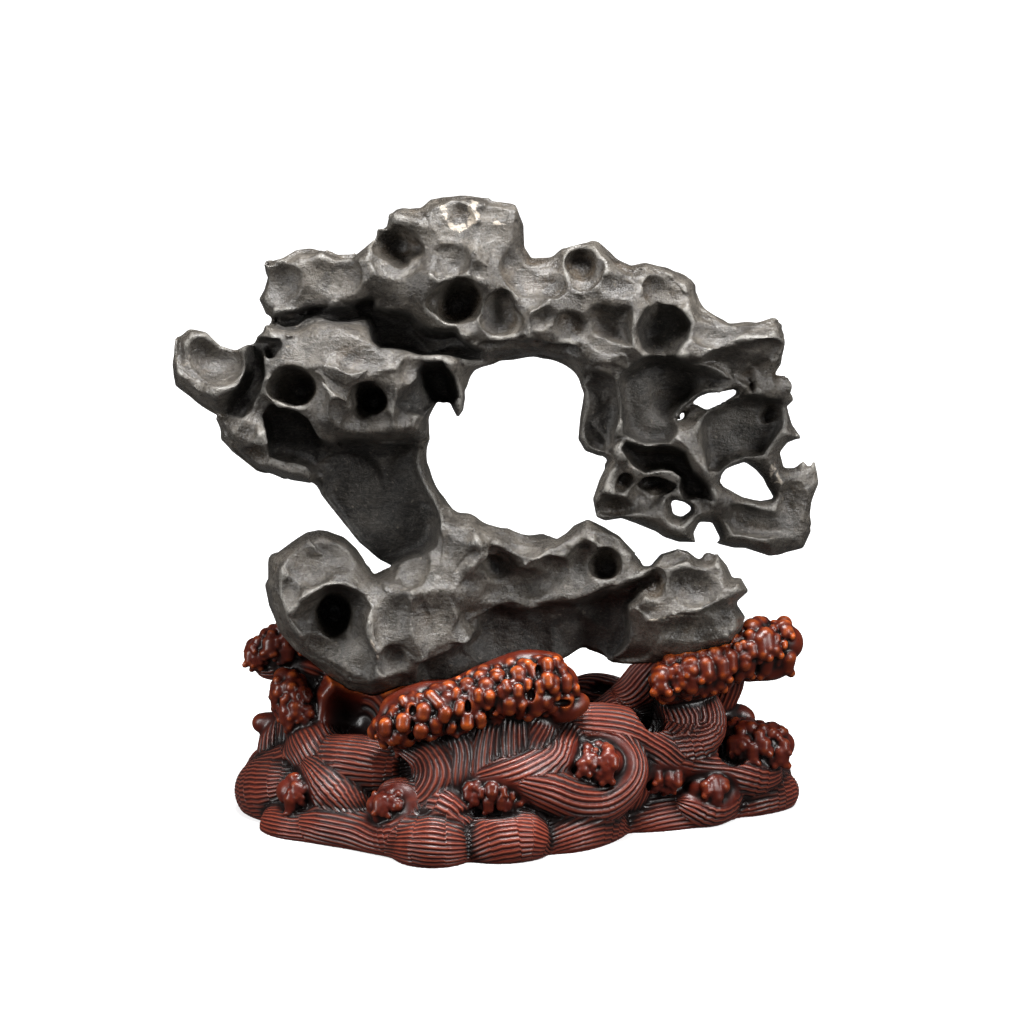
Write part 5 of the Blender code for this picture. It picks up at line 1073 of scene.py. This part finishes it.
def stone_finish():
    """Polished dark limestone: brown hollows darkened with painted shade, grey tops, worn edges paled with
    painted highlights, painted shade in the recesses, pores, scratches and veins.
    """
    n = Nodes("polished_dark_limestone")
    hollow, broad, edge, cream = (n.value(name) for name in ("hollow", "broad", "edge", "cream"))
    cloud = n.noise(22, 5, 0.6)
    patch = n.noise(60, 5, 0.6, distortion=0.8)
    grain = n.noise(190, 6, 0.65, distortion=0.6)
    fine = n.noise(620, 3, 0.6)
    # brown lies in the hollows, grey on what is rubbed; the brown is darker too, partly the stone's tone
    # and partly painted shade
    patches = n.span(patch, 0.40, 0.62)
    brown = n.mix(patches, (0.019, 0.0145, 0.0105, 1), (0.072, 0.054, 0.038, 1))
    grey = n.mix(patches, (0.040, 0.0345, 0.029, 1), (0.098, 0.086, 0.072, 1))
    body = n.mix(n.span(n.sum("ADD", cloud, n.sum("MULTIPLY", hollow, -0.9)), 0.02, -0.14), grey, brown)
    body = n.mix(n.sum("MULTIPLY", n.span(grain, 0.52, 0.66), 0.6), body, (0.118, 0.103, 0.084, 1))
    # worn edges paled, partly wear and partly a painted highlight along the ridges
    rubbed_and_highlit = n.span(n.sum("ADD", edge, n.sum("MULTIPLY", grain, 0.3)), 0.70, 1.10)
    pale = n.mix(n.sum("MULTIPLY", rubbed_and_highlit, 0.6), body, (0.28, 0.265, 0.24, 1))
    # painted shade: the deep places are black
    dark = n.mix(n.span(hollow, 0.60, 0.82), pale, (0.018, 0.0145, 0.0115, 1))
    dark = n.mix(n.span(broad, 0.60, 0.82), dark, (0.006, 0.0055, 0.005, 1))
    # soot and painted shade: each recess darkened, partly the dull dark stone, partly painted shade
    shade_and_soot = n.sum("MULTIPLY", n.value("shade_and_soot"), n.span(patch, 0.75, 0.35, 0.55, 1.0))
    dark = n.mix(shade_and_soot, dark, (0.0045, 0.0038, 0.0032, 1))
    # scratches, pores, flecks and veins
    stroke = n.noise(150, 6, 0.7, stretch=(0.5, 1.0, 1.4), distortion=2.0)
    line = n.span(n.sum("ABSOLUTE", n.sum("SUBTRACT", stroke, 0.5)), 0.030, 0.004)
    scratched = n.mix(n.sum("MULTIPLY", line, 0.34), dark, (0.20, 0.185, 0.16, 1))
    pores = n.noise(520, 4, 0.6, distortion=0.4)
    pitted = n.mix(n.sum("MULTIPLY", n.span(pores, 0.54, 0.64), 0.7), scratched, (0.022, 0.018, 0.014, 1))
    specks = n.noise(330, 3, 0.5)
    flecked = n.mix(n.sum("MULTIPLY", n.span(specks, 0.66, 0.72), 0.5), pitted, (0.22, 0.19, 0.155, 1))
    vein = n.span(n.sum("ADD", cream, n.sum("MULTIPLY", n.sum("SUBTRACT", grain, 0.5), 4.5)), 0.6, 1.1)
    colour = n.mix(n.sum("MULTIPLY", vein, n.span(cream, 0.02, 0.2)), flecked, (0.38, 0.33, 0.27, 1))
    n.feed(n.shader.inputs["Base Color"], colour)
    # edges shine, the sooty and shaded recesses are dull
    rough = n.span(n.sum("ADD", n.sum("MULTIPLY", cloud, 0.5), n.sum("MULTIPLY", fine, 0.5)),
                   0.35, 0.65, 0.22, 0.40, smooth=False)
    wear_and_sheen = n.sum("MULTIPLY", n.span(edge, 0.35, 0.9), -0.14)
    rough = n.sum("ADD", n.sum("ADD", rough, wear_and_sheen), n.sum("MULTIPLY", shade_and_soot, 0.4))
    n.feed(n.shader.inputs["Roughness"], rough)
    n.shader.inputs["Specular IOR Level"].default_value = 0.6
    strokes = n.noise(130, 5, 0.62, stretch=(0.35, 1.0, 1.6), distortion=1.2)
    normal = n.bump(n.noise(80, 6, 0.62, distortion=0.4), 0.8, 0.0022)
    normal = n.bump(strokes, 0.6, 0.0012, normal)
    normal = n.bump(n.noise(480, 5, 0.65, distortion=0.5), 0.65, 0.0010, normal)
    n.feed(n.shader.inputs["Normal"], normal)
    return n.material


def wood_finish():
    """Lacquered red hardwood: amber where crests are worn and, as painted light, where they face up;
    painted highlights on the groove ridges, painted shade black between grooves and knobs.
    """
    n = Nodes("lacquered_carved_hardwood")
    hollow, broad, phase = n.value("hollow"), n.value("broad"), n.value("phase")
    comb, amber, edge = n.value("comb"), n.value("amber"), n.value("edge")
    wave = n.sum("ABSOLUTE", n.sum("SINE", n.sum("MULTIPLY", phase, math.pi)))
    cloud = n.noise(30, 4, 0.6)
    grain = n.noise(240, 5, 0.6, stretch=(0.25, 1.0, 1.0), distortion=0.5)
    red = n.mix(n.span(cloud, 0.35, 0.7), (0.055, 0.0062, 0.0036, 1), (0.135, 0.0155, 0.0075, 1))
    red = n.mix(n.sum("MULTIPLY", n.span(grain, 0.5, 0.75), 0.7), red, (0.165, 0.029, 0.014, 1))
    # amber where crests are worn, lighter on upward faces as painted light from above
    upward = n.add("SeparateXYZ", {0: n.add("NewGeometry").outputs["Normal"]}).outputs["Z"]
    lit = n.sum("MULTIPLY", n.span(edge, 0.10, 0.75), n.span(upward, -0.6, 0.6, 0.45, 1.0))
    lit = n.sum("MULTIPLY", lit, n.span(n.noise(95, 3, 0.5), 0.38, 0.58, 0.35, 1.0))
    wear_and_sheen = n.mix(lit, (0.080, 0.0085, 0.0026, 1), (0.58, 0.110, 0.015, 1))
    wear_and_sheen = n.mix(n.sum("MULTIPLY", n.span(grain, 0.5, 0.75), lit), wear_and_sheen, (0.66, 0.185, 0.034, 1))
    body = n.mix(amber, red, wear_and_sheen)
    # painted highlight along the ridges of the combed grooves
    crest = n.mix(n.sum("MULTIPLY", n.span(wave, 0.78, 1.0), n.sum("MULTIPLY", comb, 0.5)), body,
                  (0.40, 0.100, 0.056, 1))
    # painted shade in the valleys of the grooves
    valley = n.mix(n.sum("MULTIPLY", n.span(wave, 0.42, 0.06), n.sum("MULTIPLY", comb, 0.85)), crest,
                   (0.008, 0.0025, 0.0025, 1))
    # painted shade: hollows and recesses near black
    deep = n.mix(n.span(hollow, 0.44, 0.60), valley, (0.007, 0.0022, 0.0018, 1))
    deep = n.mix(n.span(broad, 0.60, 0.80), deep, (0.006, 0.002, 0.002, 1))
    n.feed(n.shader.inputs["Base Color"], deep)
    rough = n.span(n.noise(160, 4, 0.6), 0.3, 0.7, 0.26, 0.44, smooth=False)
    dusty = n.sum("MULTIPLY", n.span(wave, 0.6, 0.1), n.sum("MULTIPLY", comb, 0.35))
    n.feed(n.shader.inputs["Roughness"], n.sum("ADD", rough, dusty))
    n.shader.inputs["Specular IOR Level"].default_value = 0.4
    n.shader.inputs["Coat Weight"].default_value = 0.06
    n.shader.inputs["Coat Roughness"].default_value = 0.15
    normal = n.bump(n.sum("MULTIPLY", wave, comb), 0.7, 0.0007)
    normal = n.bump(n.noise(300, 4, 0.6), 0.25, 0.0003, normal)
    n.feed(n.shader.inputs["Normal"], normal)
    return n.material


# ---- the pieces ----
def build_rock():
    """The rock's two pieces; gives its field, which the stand's seat follows."""
    field, sunk_shade_and_soot = rock_field()
    points, facets = whole_piece(*field.skin())
    points, facets = thinned(points, facets, ROCK_TRIANGLES)
    hollow = crowding(field, points, skip=2, reach=5)
    broad = crowding(field, points, skip=4, reach=14)
    normals = corner_normals(points, facets)
    uneven = 0.5 * wobble(points, pitch=30, seed=5) + 0.2 * wobble(points, pitch=11, seed=6)
    points = points + normals * uneven[:, None]
    edge = np.clip((0.5 - crowding(field, points, skip=2, reach=3)) * 4, 0, 1)
    cream = vein_marks(points)
    shade_and_soot = grid_at(sunk_shade_and_soot, field, points)
    middle = points[facets].mean(axis=1)
    region = (middle[:, 1] < ROCK_PARTING).astype(int)
    make_pieces("stone", stone_finish(), points, facets,
                {"hollow": hollow, "broad": broad, "edge": edge, "cream": cream, "shade_and_soot": shade_and_soot},
                (["stone_upper", "stone_lower"], region))
    return field


def vein_marks(points):
    """How much pale vein shows at each corner of the front."""
    strength = np.zeros(len(points))
    front = points[:, 2] > sheet_depth(points[:, 1], 0)
    for path, width in VEINS:
        for start, end in zip(np.array(path, float), np.array(path[1:], float)):
            along = end - start
            off = points[:, :2] - start
            share = np.clip(off @ along / (along @ along), 0, 1)
            gap = np.linalg.norm(off - share[:, None] * along, axis=1)
            strength = np.maximum(strength, front * np.clip(1.5 - gap / width, 0, 1))
    return strength


def groove_values(points, facets):
    """Groove marks made uneven along each wave, and blended where waves and crests meet."""
    phase, comb, amber = groove_marks(points)
    phase = phase + 0.55 * wobble(points, pitch=46, seed=11) + 0.06 * wobble(points, pitch=18, seed=12)
    comb = spread_out(points, facets, comb, times=2)
    amber = spread_out(points, facets, amber, times=2)
    height = points[:, 1] * COS_LEAN + points[:, 2] * SIN_LEAN
    return phase, comb * np.clip((height - 0.6) / 2, 0, 1), amber


def build_stand(rock):
    """The stand's six pieces, with the grooves combed into its waves."""
    field = stand_field(rock)
    points, facets = field.skin()
    phase, comb, amber = groove_values(points, facets)
    depth = GROOVE_DEPTH * comb * (1 - np.abs(np.sin(math.pi * phase)))
    points = points - corner_normals(points, facets) * depth[:, None]
    points, facets = thinned(points, facets, STAND_TRIANGLES)
    phase, comb, amber = groove_values(points, facets)
    hollow = crowding(field, points, skip=2, reach=4)
    broad = crowding(field, points, skip=4, reach=14)
    edge = np.clip((0.5 - crowding(field, points, skip=2, reach=2.0)) * 3.2, 0, 1)
    middle = points[facets].mean(axis=1)
    f = middle[:, 2] * COS_LEAN - middle[:, 1] * SIN_LEAN
    region = np.where(f < STAND_BACK, len(STAND_PARTINGS) + 1 + (middle[:, 0] > 0),
                      np.searchsorted(STAND_PARTINGS, middle[:, 0], side="right"))
    make_pieces("stand", wood_finish(), points, facets,
                {"hollow": hollow, "broad": broad, "edge": edge, "phase": phase, "comb": comb,
                 "amber": amber},
                (["stand_front_left", "stand_front_middle", "stand_front_centre", "stand_front_right",
                  "stand_back_left", "stand_back_right"], region))


rock = build_rock()
build_stand(rock)

# ---- floor, light and camera ----
floor_mesh = bpy.data.meshes.new("floor")
floor_mesh.from_pydata([(-6, -6, 0), (6, -6, 0), (6, 6, 0), (-6, 6, 0)], [], [(0, 1, 2, 3)])
floor = bpy.data.objects.new("floor", floor_mesh)
bpy.context.scene.collection.objects.link(floor)
plain = Nodes("white_paper")
plain.shader.inputs["Base Color"].default_value = (0.6, 0.6, 0.6, 1)
plain.shader.inputs["Roughness"].default_value = 0.9
plain.shader.inputs["Emission Color"].default_value = (1, 1, 1, 1)
away = plain.add("VectorMath", {0: plain.add("TexCoord").outputs["Object"]}, operation="LENGTH")
far = away.outputs["Value"]
plain.feed(plain.shader.inputs["Emission Strength"], plain.span(far, 0.3, 1.2, 0.70, 1.0))
floor_mesh.materials.append(plain.material)
floor.visible_diffuse = False
floor.visible_glossy = False


def add_light(name, place, size, power, target=(0, 0, 0.17)):
    """A softbox that points at the object."""
    light = bpy.data.lights.new(name, "AREA")
    light.shape = "RECTANGLE"
    light.size, light.size_y = size
    light.energy = power
    lamp = bpy.data.objects.new(name, light)
    lamp.location = place
    lamp.rotation_euler = (Vector(target) - Vector(place)).to_track_quat("-Z", "Y").to_euler()
    bpy.context.scene.collection.objects.link(lamp)


add_light("top_softbox", (0.1, -0.25, 1.6), (0.8, 0.55), 52)
add_light("right_softbox", (1.3, -0.9, 0.8), (0.5, 0.8), 21)
add_light("left_softbox", (-1.4, -0.7, 0.7), (0.3, 1.0), 17)
world = bpy.data.worlds.new("studio")
world.use_nodes = True
world.node_tree.nodes["Background"].inputs[0].default_value = (1, 1, 1, 1)
world.node_tree.nodes["Background"].inputs[1].default_value = 0.10
bpy.context.scene.world = world
bpy.context.scene.view_settings.view_transform = "Standard"

lens = bpy.data.cameras.new("camera")
lens.sensor_width = 36
lens.lens = 36 * CAMERA_AWAY / FRAME_WIDTH
lens.clip_end = 30
camera = bpy.data.objects.new("camera", lens)
aim = Vector((FRAME_MIDDLE[0] * MM, 0, FRAME_MIDDLE[1] * MM / COS_LEAN))
camera.location = aim + CAMERA_AWAY * Vector((0, -COS_LEAN, SIN_LEAN))
camera.rotation_euler = (aim - camera.location).to_track_quat("-Z", "Y").to_euler()
bpy.context.scene.collection.objects.link(camera)
bpy.context.scene.camera = camera
